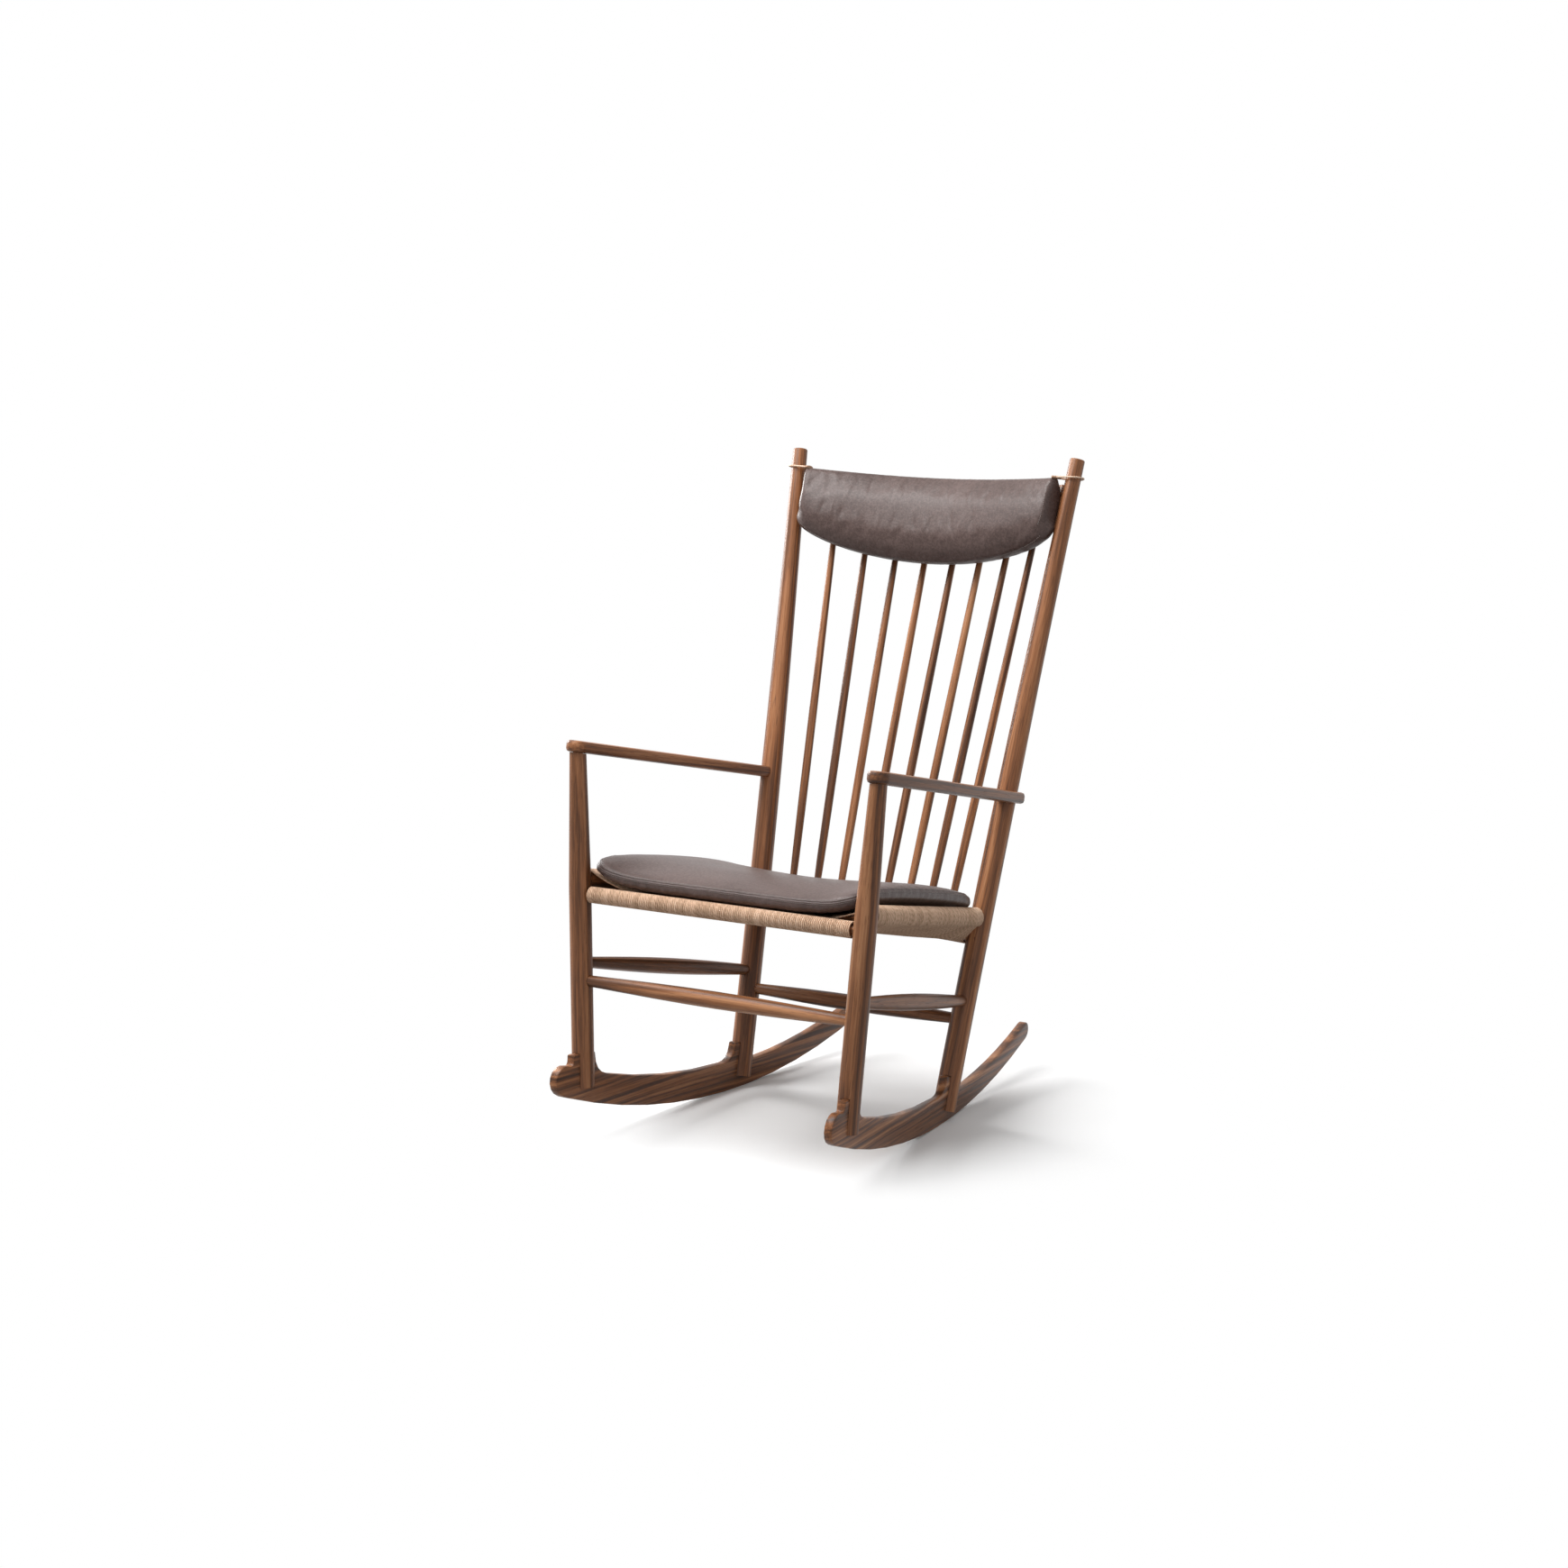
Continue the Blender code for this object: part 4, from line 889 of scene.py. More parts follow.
@dataclass
class Upholstery:
    """What both cushions share: filling by cloth simulation, folds and stitches."""

    voxel: float
    even: int
    calm: int
    slack: float = 0.0
    pressure: float = 4.0
    frames: int = 20
    cap: float = 0.0030
    stretch_stiffness: float = 25.0
    bend_stiffness: float = 1.0
    aslant: Triple = (0.5, 0.4, 0.3)
    thread_radius: float = 0.00052
    thread_rise: float = 0.00020
    thread: Mottled = THREAD
    leather: Leather = field(default_factory=Leather)

    def fill(self, form: bpy.types.Mesh, name: str, is_held: Hold,
             folds: Sequence[Fold] = ()) -> bpy.types.Mesh:
        """Fill a cushion: remesh its form, hold its seams and let pressure round it.

        The form is turned aslant for the remesh, so that no voxel layer lies along its seams.

        Args:
            form: The closed form that it takes.
            name: The new mesh's name.
            is_held: Tells from a point and its normal whether the cloth is held there.
            folds: Soft folds of the hide, pressed in after it is filled.

        Returns:
            The filled mesh.
        """
        aslant = Euler(self.aslant).to_matrix().to_4x4()
        form.transform(aslant)
        guide = link(name + "_guide", form)
        remesh = guide.modifiers.new("voxels", "REMESH")
        remesh.mode = "VOXEL"
        remesh.voxel_size = self.voxel
        self.apply(guide)
        guide.data.transform(aslant.inverted())
        self.smooth(guide.data, self.even)
        self.simulate(guide, is_held)
        self.smooth(guide.data, self.calm)
        finer = guide.modifiers.new("finer", "SUBSURF")
        finer.levels = 1
        finer.render_levels = 1
        self.apply(guide)
        mesh = guide.data
        mesh.name = name
        bpy.data.objects.remove(guide)
        self.crease(mesh, folds)
        mesh.shade_smooth()
        return mesh

    @staticmethod
    def smooth(mesh: bpy.types.Mesh, rounds: int) -> None:
        """Even out a mesh.

        Args:
            mesh: The mesh to change.
            rounds: How many times each point moves halfway to its neighbours.
        """
        shape = bmesh.new()
        shape.from_mesh(mesh)
        for _ in range(rounds):
            bmesh.ops.smooth_vert(shape, verts=shape.verts, factor=0.5, use_axis_x=True, use_axis_y=True,
                                  use_axis_z=True)
        shape.to_mesh(mesh)
        shape.free()

    @staticmethod
    def crease(mesh: bpy.types.Mesh, folds: Sequence[Fold]) -> None:
        """Press soft folds into a mesh.

        Args:
            mesh: The mesh to change.
            folds: The folds.
        """
        places = np.array([vert.co for vert in mesh.vertices])
        normals = np.array([vert.normal for vert in mesh.vertices])
        height = np.zeros(len(places))
        for fold in folds:
            away = places - np.array(fold.centre)
            run = away @ np.array(fold.run) / fold.run.length_squared
            cross = away @ np.array(fold.cross) / fold.cross.length_squared
            facing = np.clip(normals @ np.array(fold.facing), 0.0, 1.0)
            height += fold.depth * facing * np.exp(-run ** 2 - cross ** 2)
        mesh.vertices.foreach_set("co", (places + normals * height[:, None]).ravel())

    @staticmethod
    def apply(guide: bpy.types.Object) -> None:
        """Turn a guide's modifiers into its mesh.

        Args:
            guide: The object to change.
        """
        graph = bpy.context.evaluated_depsgraph_get()
        mesh = bpy.data.meshes.new_from_object(guide.evaluated_get(graph))
        guide.modifiers.clear()
        guide.data = mesh

    def simulate(self, guide: bpy.types.Object, is_held: Hold) -> None:
        """Blow the cloth up by pressure and keep each point within the cap.

        Args:
            guide: The object to fill.
            is_held: Tells from a point and its normal whether the cloth is held there.
        """
        group = guide.vertex_groups.new(name="held")
        held = [vert.index for vert in guide.data.vertices if is_held(vert.co, vert.normal)]
        group.add(held, 1.0, "REPLACE")
        before = [vert.co.copy() for vert in guide.data.vertices]
        cloth = guide.modifiers.new("cloth", "CLOTH")
        cloth.settings.use_pressure = True
        cloth.settings.uniform_pressure_force = self.pressure
        cloth.settings.effector_weights.gravity = 0.0
        cloth.settings.vertex_group_mass = group.name
        cloth.settings.tension_stiffness = self.stretch_stiffness
        cloth.settings.compression_stiffness = self.stretch_stiffness
        cloth.settings.bending_stiffness = self.bend_stiffness
        cloth.settings.shrink_min = -self.slack
        cloth.collision_settings.use_collision = False
        scene = bpy.context.scene
        for frame in range(1, self.frames + 1):
            scene.frame_set(frame)
        graph = bpy.context.evaluated_depsgraph_get()
        after = guide.evaluated_get(graph).data
        moved = [after.vertices[index].co - place for index, place in enumerate(before)]
        guide.modifiers.clear()
        for vert, place, move in zip(guide.data.vertices, before, moved):
            length = move.length
            keep = self.cap * math.tanh(length / self.cap) / length if length > 1e-9 else 0.0
            vert.co = place + move * keep
        guide.vertex_groups.clear()
        scene.frame_set(1)
        LOG.info("%s filled, most %.1f mm", guide.name, 1000.0 * max(move.length for move in moved))

    def stitches(self, name: str, rows: Sequence[Sequence[Spot]], gap: float, length: float,
                 body: Body, material: bpy.types.Material) -> None:
        """Rows of stitches as small drawn-out beads that lie on the leather.

        Args:
            name: The piece's name.
            rows: Points with their surface normals, evenly along each row.
            gap: Distance from stitch to stitch.
            length: Length of one stitch.
            body: The CAD body it rides on.
            material: The thread's finish.
        """
        shape = bmesh.new()
        for row in rows:
            for first, last, normal in self.walk(row, gap, length):
                along = (last - first).normalized()
                side = normal.cross(along).normalized()
                frame = Matrix((along, side, along.cross(side))).transposed().to_4x4()
                size = Matrix.Diagonal((length / 2, self.thread_radius, self.thread_radius, 1.0))
                place = Matrix.Translation((first + last) / 2 + normal * self.thread_rise) @ frame @ size
                bmesh.ops.create_icosphere(shape, subdivisions=1, radius=1.0, matrix=place)
        bmesh.ops.recalc_face_normals(shape, faces=shape.faces)
        new_piece(name, mesh_of(shape, name), material, body)

    @staticmethod
    def walk(row: Sequence[Spot], gap: float, length: float) -> Iterable[tuple[Vector, Vector, Vector]]:
        """Ends and normal of each stitch along a row.

        Args:
            row: Points with their surface normals.
            gap: Distance from stitch to stitch.
            length: Length of one stitch.

        Yields:
            Both ends and the surface normal.
        """
        travelled = 0.0
        due = gap / 2
        for (first, normal), (last, _) in zip(row, row[1:]):
            span = (last - first).length
            while due <= travelled + span and span > 1e-7:
                middle = first.lerp(last, (due - travelled) / span)
                half = (last - first).normalized() * (length / 2)
                yield middle - half, middle + half, normal
                due += gap
            travelled += span


@dataclass
class SeatCushion:
    """The boxed seat cushion with its twin-stitched seam."""

    bones: Skeleton
    work: Upholstery = field(default_factory=lambda: Upholstery(voxel=0.0055, even=14, calm=6))
    past_front_rail: float = 0.0033
    short_of_back_rail: float = 0.0285
    past_legs: float = 0.0020
    past_posts: float = 0.0195
    rim: float = 0.021
    rest_gap: float = 0.0010
    side_arch: float = 0.008
    draw_in: float = 0.003
    corner_pull: float = 0.040
    pull_power: int = 6
    arch_power: int = 4
    roll_power: int = 6
    corner_power: int = 9
    seam_points: int = 96
    held_by_seam: float = 0.0055
    held_below: float = -0.35
    stitch_gap: float = 0.0034
    stitch_length: float = 0.0025
    row_offset: float = 0.0038
    row_height: float = 0.00030
    seam_profile: tuple[Pair, ...] = (
        (0.0054, -0.0005), (0.0044, 0.0001), (0.0032, 0.0006), (0.0018, 0.0009), (0.0006, 0.0006))
    seam_groove: float = -0.0003
    seam_shade: float = 0.9

    def edge(self, across: float, along: float) -> Vector:
        """A point of the cushion's lower outline.

        Args:
            across: From -1 at the right to 1 at the left.
            along: From -1 at the front to 1 at the back.

        Returns:
            The point.
        """
        bones = self.bones
        front_y = bones.front_rail(0.0).y - self.past_front_rail
        back_y = bones.back_rail(0.0).y - self.short_of_back_rail
        front_half = bones.leg(bones.side_rail_front_z).x + self.past_legs
        back_half = bones.post(bones.side_rail_back_z).x + self.past_posts
        pull = 1.0 - self.corner_pull * (across * along) ** self.pull_power
        share = (along * pull + 1.0) / 2.0
        half = front_half + (back_half - front_half) * share - self.draw_in * (1.0 - along ** 2)
        draw = self.draw_in * along * (1.0 - across ** 2)
        place_y = front_y + (back_y - front_y) * share - draw
        place_x = across * pull * half
        arch = self.side_arch * across ** self.arch_power * (1.0 - along ** self.arch_power)
        reach = min(abs(place_x) / bones.side_rail(place_y).x, 1.0)
        roll = bones.roll + (bones.side_roll - bones.roll) * reach ** self.roll_power
        return Vector((place_x, place_y, bones.middle_z(place_x, place_y) + roll + self.rest_gap + arch))

    def outline(self) -> list[Vector]:
        """Points round the cushion's lower outline, with rounded corners.

        Returns:
            The points.
        """
        points = []
        for turn in spread(0.0, 2.0 * math.pi, 4 * self.seam_points + 1)[:-1]:
            wide = math.cos(turn)
            deep = math.sin(turn)
            reach = abs(wide) ** self.corner_power + abs(deep) ** self.corner_power
            stretch = reach ** (-1.0 / self.corner_power)
            points.append(self.edge(wide * stretch, deep * stretch))
        return points

    def build(self, nodes: dict[str, bpy.types.Object]) -> None:
        """Fill the cushion, then sew its seam.

        Args:
            nodes: The CAD nodes by name.
        """
        node = nodes["seat_cushion"]
        cage = BVHTree.FromObject(node, bpy.context.evaluated_depsgraph_get())
        seam = [cage.find_nearest(place + UP * self.rim)[0] for place in self.outline()]

        def is_held(place: Vector, normal: Vector) -> bool:
            """The seam and the underside stay where they are."""
            return normal.z < self.held_below or min((place - knot).length for knot in seam) < self.held_by_seam

        mesh = self.work.fill(welded_copy(node, "seat_cushion_form"), "seat_cushion_leather", is_held)
        hide = self.work.leather.material("seat_leather")
        piece = new_piece("seat_cushion_leather", mesh, hide, Body.SEAT)
        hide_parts("seat_cushion")
        self.sew(piece, seam)

    def sew(self, piece: bpy.types.Object, seam: Sequence[Vector]) -> None:
        """Lay the raised seam and its two rows of stitches on the filled leather.

        Args:
            piece: The filled cushion.
            seam: Points along the seam, near its surface.
        """
        skin = BVHTree.FromObject(piece, bpy.context.evaluated_depsgraph_get())
        line = self.even_normals([skin.find_nearest(place)[:2] for place in seam])

        def row(offset: float, height: float) -> list[Spot]:
            """Points beside the seam.

            Args:
                offset: Distance from the seam.
                height: Height above the leather.

            Returns:
                The points with their normals, the last on the first.
            """
            spots = []
            for index, (place, normal) in enumerate(line):
                ahead = line[(index + 1) % len(line)][0] - line[index - 1][0]
                side = normal.cross(ahead).normalized()
                spots.append(skin.find_nearest(place + side * offset)[:2])
            points = [(spot + rise * height, rise) for spot, rise in self.even_normals(spots)]
            return points + points[:1]

        profile = [(-offset, height) for offset, height in self.seam_profile]
        profile += [(0.0, self.seam_groove), *reversed(self.seam_profile)]
        strip = self.ribbon([row(offset, height) for offset, height in profile])
        hide = self.work.leather.material("seam_leather", self.seam_shade)
        new_piece("seat_cushion_seam", strip, hide, Body.SEAT)
        rows = [row(offset, self.row_height) for offset in (-self.row_offset, self.row_offset)]
        self.work.stitches("seat_cushion_stitches", rows, self.stitch_gap, self.stitch_length, Body.SEAT,
                           self.work.thread.material("waxed_thread"))

    @staticmethod
    def even_normals(line: Sequence[Spot], reach: int = 3) -> list[Spot]:
        """Take the mean of the normals beside each point of a closed line.

        Args:
            line: Points with their surface normals.
            reach: How many points count on either side.

        Returns:
            The points with calmer normals.
        """
        even = []
        for index, (place, _) in enumerate(line):
            near = [line[(index + step) % len(line)][1] for step in range(-reach, reach + 1)]
            even.append((place, sum(near, Vector()).normalized()))
        return even

    @staticmethod
    def ribbon(rows: Sequence[Sequence[Spot]]) -> bpy.types.Mesh:
        """A closed band through rows of points.

        Args:
            rows: Points with normals, as many in each row, the last on the first.

        Returns:
            The band's mesh.
        """
        shape = bmesh.new()
        count = len(rows[0])
        bmesh.ops.create_grid(shape, x_segments=count - 1, y_segments=len(rows) - 1, size=1.0)
        shape.verts.ensure_lookup_table()
        for index, vert in enumerate(shape.verts):
            vert.co = rows[index // count][index % count][0]
        bmesh.ops.remove_doubles(shape, verts=shape.verts, dist=1e-6)
        facing = sum(face.normal.dot(rows[0][0][1]) for face in shape.faces[:4])
        if facing < 0.0:
            bmesh.ops.reverse_faces(shape, faces=shape.faces)
        return mesh_of(shape, "seat_cushion_seam")


@dataclass
class NeckCushion:
    """The half-moon neck cushion, its stitched seams and the two loops that hang it."""

    bones: Skeleton
    work: Upholstery = field(default_factory=lambda: Upholstery(voxel=0.0042, even=3, calm=2, slack=0.008))
    lace: Mottled = PALE_LACE
    tip_lace: Mottled = TAN_LACE
    crest_z: float = 0.9940
    back_lean: float = math.radians(20.8)
    crest_bow: float = 0.0767
    crest_half_thickness: float = 0.007
    stand_off: float = 0.0025
    crown: float = 0.066
    rise: float = 0.0477
    post_gap: float = 0.0070
    crest_post_radius: float = 0.0133
    bend: float = 0.8225
    height: float = 0.152
    end_height: float = 0.093
    end_fall: float = 0.0050
    loop_below_head: float = 0.0312
    loop_slack: float = 0.0024
    loop_tube: float = 0.0016
    loop_end: float = 0.0035
    loop_sewn_place: float = 0.985
    loop_rise: float = 0.0005
    tip_size: Triple = (0.0066, 0.0028, 0.0166)
    tip_place: float = 0.0025
    tip_bevel: float = 0.0008
    tip_sides: int = 24
    loop_points: int = 48
    loop_end_points: int = 14
    held_by_seam: float = 0.0090
    rim: float = 0.014
    end_fill: float = 0.45
    end_back: float = 0.004
    fullest: float = -0.28
    full_power: int = 4
    end_power: int = 4
    columns: int = 72
    rows: int = 24
    hide_shade: float = 1.06
    held_points: int = 90
    held_end_points: int = 20
    stitch_gap: float = 0.0034
    stitch_length: float = 0.0025
    seam_inset: float = -0.0010
    seam_reach: float = 0.97
    seam_points: int = 160
    end_seam: float = 0.982
    end_seam_reach: Pair = (0.06, 0.94)
    end_seam_points: int = 40
    low_folds: tuple[float, float, int] = (-0.78, 0.40, 15)
    low_fold_place: float = -0.25
    low_fold_wave: Pair = (0.10, 5.0)
    high_folds: tuple[float, float, int] = (-0.60, 0.62, 9)
    high_fold_place: float = 0.50
    fold_scatter: Pair = (0.03, 0.12)
    fold_lean: float = 0.25
    fold_lengths: Pair = (0.010, 0.019)
    fold_widths: Pair = (0.0030, 0.0055)
    fold_depths: Pair = (0.0005, 0.0011)
    seed: int = 11

    def frame(self) -> Matrix:
        """Where the cushion lies: X across, Y to the back, Z up the lean of the back.

        Returns:
            The matrix.
        """
        lean = Vector((0.0, math.sin(self.back_lean), math.cos(self.back_lean)))
        back = Vector((0.0, math.cos(self.back_lean), -math.sin(self.back_lean)))
        end = self.bones.post(self.crest_z)
        turn = Matrix((ACROSS, back, lean)).transposed().to_4x4()
        ahead = self.crest_half_thickness + self.stand_off + self.crown / 2
        place = Matrix.Translation((0.0, self.crest_bow - ahead, self.rise))
        return Matrix.Translation((0.0, end.y, end.z)) @ turn @ place

    def edge(self, across: float) -> Vector:
        """Point of the upper edge.

        Args:
            across: From -1 at the right to 1 at the left.

        Returns:
            The point.
        """
        half = self.bones.post(self.crest_z).x
        radius = (half ** 2 + self.crest_bow ** 2) / (2.0 * self.crest_bow)
        width = half - self.crest_post_radius - self.post_gap
        bow = self.bend * (radius - math.sqrt(radius ** 2 - width ** 2))
        return self.frame() @ Vector((across * width, -bow * across ** 2, -self.end_fall * across ** 2))

    def lower_edge(self, across: float) -> Vector:
        """Point of the lower edge.

        Args:
            across: From -1 at the right to 1 at the left.

        Returns:
            The point.
        """
        curve = math.sqrt(max(1.0 - across ** 2, 0.0))
        drop = self.end_height + (self.height - self.end_height) * curve - self.end_fall * across ** 2
        return self.edge(across) - (self.frame().to_3x3() @ UP) * drop

    def build(self) -> None:
        """Fill the cushion, sew its seams and hang it by its loops."""
        seams = [edge(across) for edge in (self.lower_edge, self.edge)
                 for across in spread(-1.0, 1.0, self.held_points)]
        seams += [self.edge(across).lerp(self.lower_edge(across), share) for across in (-1.0, 1.0)
                  for share in spread(0.0, 1.0, self.held_end_points)]

        def is_held(place: Vector, _normal: Vector) -> bool:
            """The cloth is held along its seams, whichever way it faces."""
            return min((place - knot).length for knot in seams) < self.held_by_seam

        mesh = self.work.fill(self.form(), "neck_cushion_leather", is_held, self.folds())
        hide = self.work.leather.material("neck_leather", self.hide_shade)
        piece = new_piece("neck_cushion_leather", mesh, hide, Body.NECK)
        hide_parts("neck_cushion")
        self.sew(piece)
        self.hang()

    def form(self) -> bpy.types.Mesh:
        """The closed form of the cushion: seams above and below, boxed ends.

        Returns:
            The mesh.
        """
        back = self.frame().to_3x3() @ Vector((0.0, 1.0, 0.0))
        shape = bmesh.new()
        bmesh.ops.create_grid(shape, x_segments=self.columns, y_segments=self.rows, size=1.0)
        weights = shape.verts.layers.deform.verify()
        for vert in shape.verts:
            across, along = vert.co.x, vert.co.y
            away = along - self.fullest
            share = away / (1.0 - self.fullest) if away > 0.0 else away / (1.0 + self.fullest)
            full = 1.0 - share ** self.full_power
            near_end = across ** self.end_power
            vert[weights][0] = full * (1.0 - (1.0 - self.end_fill) * near_end)
            vert.co = self.edge(across).lerp(self.lower_edge(across), (1.0 - along) / 2.0)
            vert.co += back * (self.end_back * full * near_end)
        guide = link("neck_cushion_sheet", mesh_of(shape, "neck_cushion_form"))
        guide.vertex_groups.new(name="fullness")
        thick = guide.modifiers.new("thickness", "SOLIDIFY")
        thick.thickness = self.crown
        thick.offset = 0.0
        thick.vertex_group = "fullness"
        thick.thickness_vertex_group = self.rim / self.crown
        self.work.apply(guide)
        form = guide.data
        bpy.data.objects.remove(guide)
        return form

    def folds(self) -> list[Fold]:
        """Short upright folds, where the hide is drawn to its seams.

        Returns:
            The folds.
        """
        chance = random.Random(self.seed)
        turn = self.frame().to_3x3()
        facing = turn @ Vector((0.0, -1.0, 0.0))
        wave, waves = self.low_fold_wave
        places = [(across, self.low_fold_place + wave * math.sin(waves * across))
                  for across in spread(*self.low_folds)]
        places += [(across, self.high_fold_place) for across in spread(*self.high_folds)]
        sideways, upwards = self.fold_scatter
        folds = []
        for index, (across, along) in enumerate(places):
            across += chance.uniform(-sideways, sideways)
            along += chance.uniform(-upwards, upwards)
            middle = self.edge(across).lerp(self.lower_edge(across), (1.0 - along) / 2.0)
            lean = chance.uniform(-self.fold_lean, self.fold_lean)
            run = turn @ Vector((math.sin(lean), 0.0, math.cos(lean))) * chance.uniform(*self.fold_lengths)
            cross = turn @ Vector((math.cos(lean), 0.0, -math.sin(lean))) * chance.uniform(*self.fold_widths)
            depth = chance.uniform(*self.fold_depths) * (1.0 if index % 2 else -1.0)
            folds.append(Fold(middle + facing * (self.crown / 2), run, cross, facing, depth))
        return folds

    def sew(self, piece: bpy.types.Object) -> None:
        """Stitch the lower seam and the ends.

        Args:
            piece: The filled cushion.
        """
        skin = BVHTree.FromObject(piece, bpy.context.evaluated_depsgraph_get())
        turn = self.frame().to_3x3()
        ahead = turn @ Vector((0.0, -self.rim / 2, self.seam_inset))
        rows = [[skin.find_nearest(self.lower_edge(across) + ahead)[:2]
                 for across in spread(-self.seam_reach, self.seam_reach, self.seam_points)]]
        front = turn @ Vector((0.0, -self.crown / 2, 0.0))
        for across in (-self.end_seam, self.end_seam):
            rows.append([skin.find_nearest(self.edge(across).lerp(self.lower_edge(across), share) + front)[:2]
                         for share in spread(*self.end_seam_reach, self.end_seam_points)])
        self.work.stitches("neck_cushion_stitches", rows, self.stitch_gap, self.stitch_length, Body.NECK,
                           self.work.thread.material("neck_thread"))

    def hang(self) -> None:
        """The two lace loops round the post heads, and their bound ends."""
        material = self.lace.material("pale_lace")
        tan = self.tip_lace.material("tan_lace")
        for side in Side:
            name = f"neck_loop_{side.word}_lace"
            mesh = tube_mesh(name, [self.loop(side)], self.loop_tube, rounds=3, closed=True)
            piece = new_piece(name, mesh, material, Body.NECK)
            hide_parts(f"neck_loop_{side.word}")
            new_piece(f"neck_loop_{side.word}_tip", self.tip(side), tan, Body.NECK)

    def loop_frame(self) -> tuple[Vector, Vector, Vector, Vector]:
        """Where the left loop lies.

        Returns:
            Its centre round the post, its sewn end, and its directions outward and to the back.
        """
        height = self.bones.post_head[2] - self.loop_below_head
        centre = self.bones.post(height)
        along = (Vector(self.bones.post_head) - centre).normalized()
        sewn = self.edge(self.loop_sewn_place) + along * self.loop_rise
        outward = (centre - sewn).normalized()
        return centre, sewn, outward, along.cross(outward).normalized()

    def tip(self, side: Side) -> bpy.types.Mesh:
        """The flat tan sleeve that binds a loop's sewn end.

        Args:
            side: The side of the chair.

        Returns:
            The mesh.
        """
        _, sewn, outward, back = self.loop_frame()
        turn = Matrix((back, outward.cross(back), outward)).transposed().to_4x4()
        size = Matrix.Diagonal((*self.tip_size, 1.0))
        place = Matrix.Translation(sewn + outward * self.tip_place) @ turn @ size
        shape = bmesh.new()
        bmesh.ops.create_cone(shape, cap_ends=True, segments=self.tip_sides, radius1=1.0, radius2=1.0,
                              depth=1.0, matrix=place)
        rims = [edge for edge in shape.edges if any(len(face.verts) > 4 for face in edge.link_faces)]
        bmesh.ops.bevel(shape, geom=rims, offset=self.tip_bevel, offset_type="OFFSET", affect="EDGES",
                        segments=2, profile=0.5, material=-1)
        for vert in shape.verts:
            vert.co.x *= side.value
        bmesh.ops.recalc_face_normals(shape, faces=shape.faces)
        return mesh_of(shape, f"neck_loop_{side.word}_tip")

    def loop(self, side: Side) -> list[Vector]:
        """Points of a loop, sewn to the cushion's upper corner and laid round a post.

        Args:
            side: The side of the chair.

        Returns:
            The points.
        """
        centre, sewn, outward, back = self.loop_frame()
        reach = self.bones.post_head_radius + self.loop_slack + self.loop_tube
        quarter = math.pi / 2 + math.asin((reach - self.loop_end) / (centre - sewn).length)
        arcs = [(centre, reach, turn) for turn in spread(-quarter, quarter, self.loop_points)]
        arcs += [(sewn, self.loop_end, turn)
                 for turn in spread(quarter, 2.0 * math.pi - quarter, self.loop_end_points)]
        points = []
        for middle, radius, turn in arcs:
            place = middle + outward * (radius * math.cos(turn)) + back * (radius * math.sin(turn))
            points.append(Vector((place.x * side.value, place.y, place.z)))
        return points


@dataclass(frozen=True)
class Lamp:
    """A square soft box: its name, where it stands, its side and its power in watts."""

    name: str
    place: Triple
    size: float
    power: float


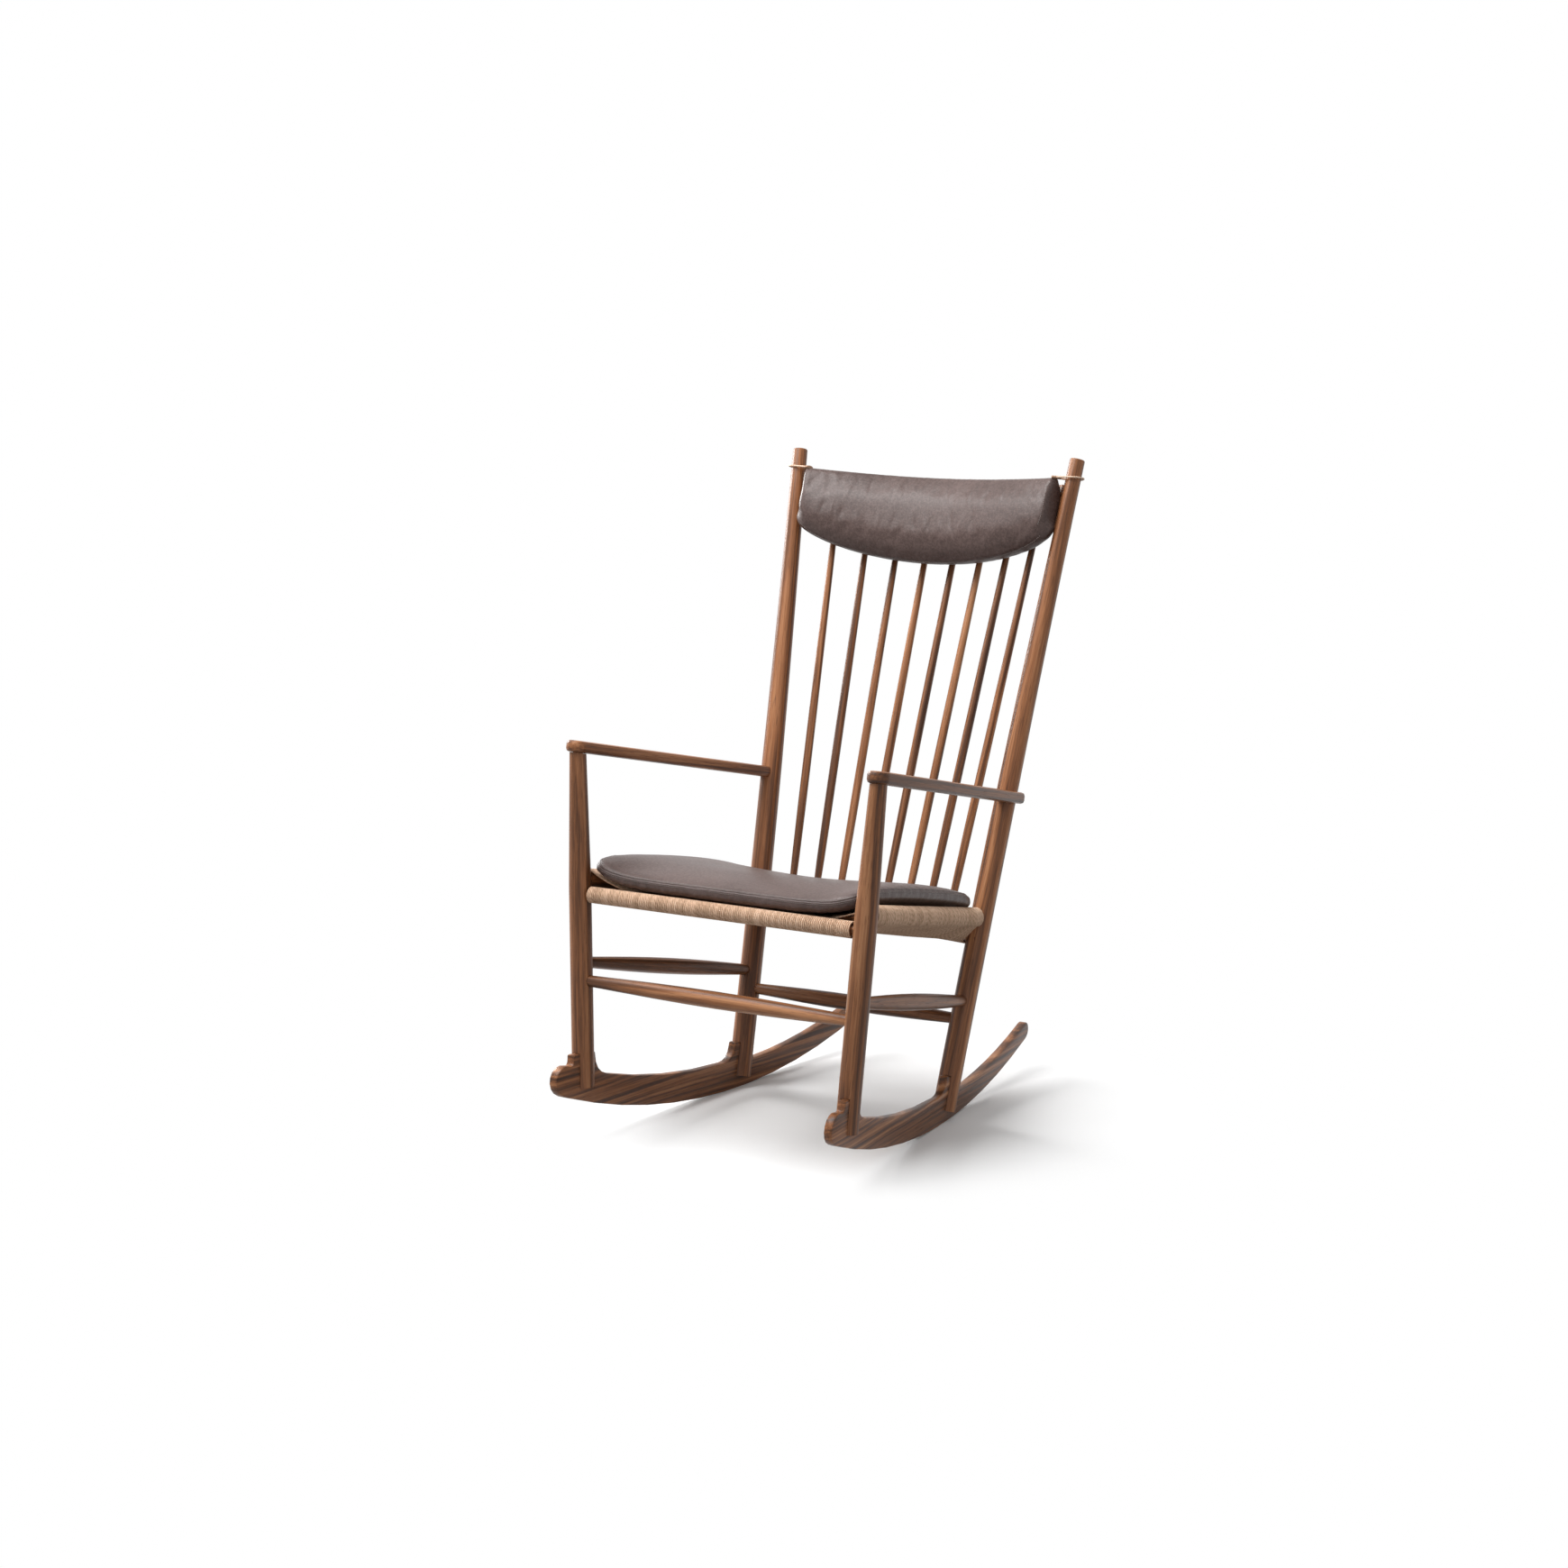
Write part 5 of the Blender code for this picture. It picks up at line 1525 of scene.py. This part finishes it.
@dataclass
class Studio:
    """A pale floor with a painted shadow near the chair, soft light and the photograph's camera."""

    eye: Triple = (2.4062, -4.0672, 1.3816)
    right: Triple = (0.85279, 0.52225, 0.0006)
    forward: Triple = (-0.51426, 0.83995, -0.17328)
    lens: float = 67.18
    sensor: float = 36.0
    clip_end: float = 100.0
    floor_size: float = 40.0
    floor_grey: float = 0.22
    # Grey of the floor near the chair as the camera sees it: a painted shadow that fades to white beyond the
    # shadow reach.
    floor_paper: float = 0.85
    shadow_centre: Triple = (0.06, 0.06, 0.0)
    shadow_reach: Pair = (0.22, 0.57)
    world_strength: float = 0.13
    target: Triple = (0.0, 0.0, 0.5)
    lamps: tuple[Lamp, ...] = (Lamp("key", (-1.0, -1.0, 3.2), 2.2, 132.0),
                               Lamp("edge", (-2.8, 0.7, 1.6), 1.2, 84.0),
                               Lamp("fill", (2.6, -3.0, 2.0), 2.4, 5.0))

    def build(self) -> None:
        """Set the stage."""
        self.floor()
        self.world()
        for lamp in self.lamps:
            self.hang(lamp)
        self.camera()
        bpy.context.scene.view_settings.view_transform = "Standard"

    def floor(self) -> None:
        """A floor that keeps the shadow near the chair, darkened there by a painted shadow, and is white beyond
        it.
        """
        shape = bmesh.new()
        bmesh.ops.create_grid(shape, x_segments=1, y_segments=1, size=self.floor_size / 2)
        mesh = mesh_of(shape, "floor")
        bench = Bench("floor_paper")
        paths = bench.add("LightPath")
        seen = sum(Signal(bench, paths.socket.node.outputs[kind]) for kind in SEEN_RAYS)
        # Camera rays see the floor near the chair in grey, a painted shadow round the cast one; other rays see
        # the darker bounce grey.
        painted_shadow_base = bench.blend(seen, (self.floor_grey,) * 3, (self.floor_paper,) * 3)
        bench.surface(base_color=painted_shadow_base, roughness=0.9, specular_ior_level=0.0)
        out = bench.tree.nodes["Material Output"]
        white = bench.add("Emission", None, {"Color": (1.0, 1.0, 1.0, 1.0), "Strength": 1.0})
        reach = bench.add("VectorMath", {"operation": "DISTANCE"},
                          {0: bench.object_place(), 1: self.shadow_centre}, output="Value")
        far = bench.step(reach, *self.shadow_reach)
        shader = Signal(bench, bench.shader.outputs[0])
        mixed = bench.add("MixShader", None, {0: far * seen, 1: shader, 2: white})
        bench.feed(out.inputs["Surface"], mixed)
        mesh.materials.append(bench.material)
        piece = link("floor", mesh)

    def world(self) -> None:
        """Plain soft light from all round, seen as white."""
        world = bpy.data.worlds.new("studio")
        world.use_nodes = True
        bpy.context.scene.world = world
        tree = world.node_tree
        light = tree.nodes["Background"]
        light.inputs["Color"].default_value = (1.0, 1.0, 1.0, 1.0)
        light.inputs["Strength"].default_value = self.world_strength
        seen = tree.nodes.new("ShaderNodeBackground")
        seen.inputs["Color"].default_value = (1.0, 1.0, 1.0, 1.0)
        paths = tree.nodes.new("ShaderNodeLightPath")
        mix = tree.nodes.new("ShaderNodeMixShader")
        either = mix.inputs[0]
        for kind in SEEN_RAYS:
            gather = tree.nodes.new("ShaderNodeMath")
            gather.operation = "MAXIMUM"
            tree.links.new(paths.outputs[kind], gather.inputs[0])
            tree.links.new(gather.outputs[0], either)
            either = gather.inputs[1]
        tree.links.new(light.outputs[0], mix.inputs[1])
        tree.links.new(seen.outputs[0], mix.inputs[2])
        tree.links.new(mix.outputs[0], tree.nodes["World Output"].inputs["Surface"])

    def hang(self, lamp: Lamp) -> None:
        """Hang a lamp that looks at the chair and isn't seen itself.

        Args:
            lamp: The lamp.
        """
        light = bpy.data.lights.new(lamp.name, "AREA")
        light.size = lamp.size
        light.energy = lamp.power
        item = link(lamp.name, light)
        item.location = lamp.place
        item.visible_camera = False
        item.rotation_euler = (Vector(lamp.place) - Vector(self.target)).to_track_quat("Z", "Y").to_euler()

    def camera(self) -> None:
        """The photograph's camera."""
        lens = bpy.data.cameras.new("camera")
        lens.lens = self.lens
        lens.sensor_width = self.sensor
        lens.clip_end = self.clip_end
        right = Vector(self.right).normalized()
        back = -Vector(self.forward).normalized()
        rise = back.cross(right).normalized()
        camera = link("camera", lens)
        camera.matrix_world = (Matrix.Translation(self.eye)
                               @ Matrix((right, rise, back)).transposed().to_4x4())
        bpy.context.scene.camera = camera


def wooden(names: Iterable[str]) -> list[str]:
    """The wooden nodes among all names."""
    soft = ("woven_seat", "seat_cushion", "neck_cushion", "neck_loop")
    return [name for name in sorted(names) if not name.startswith(soft)]


def main() -> None:
    """Build the chair's looks round its frame."""
    logging.basicConfig(level=logging.INFO, format="%(message)s")
    for item in list(bpy.data.objects):
        bpy.data.objects.remove(item)
    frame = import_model()
    nodes = frame["nodes"]
    bones = Skeleton()
    WoodFrame().build(nodes, wooden(nodes))
    WovenSeat(bones).build()
    SeatCushion(bones).build(nodes)
    NeckCushion(bones).build()
    Studio().build()


if __name__ == "__main__":
    main()
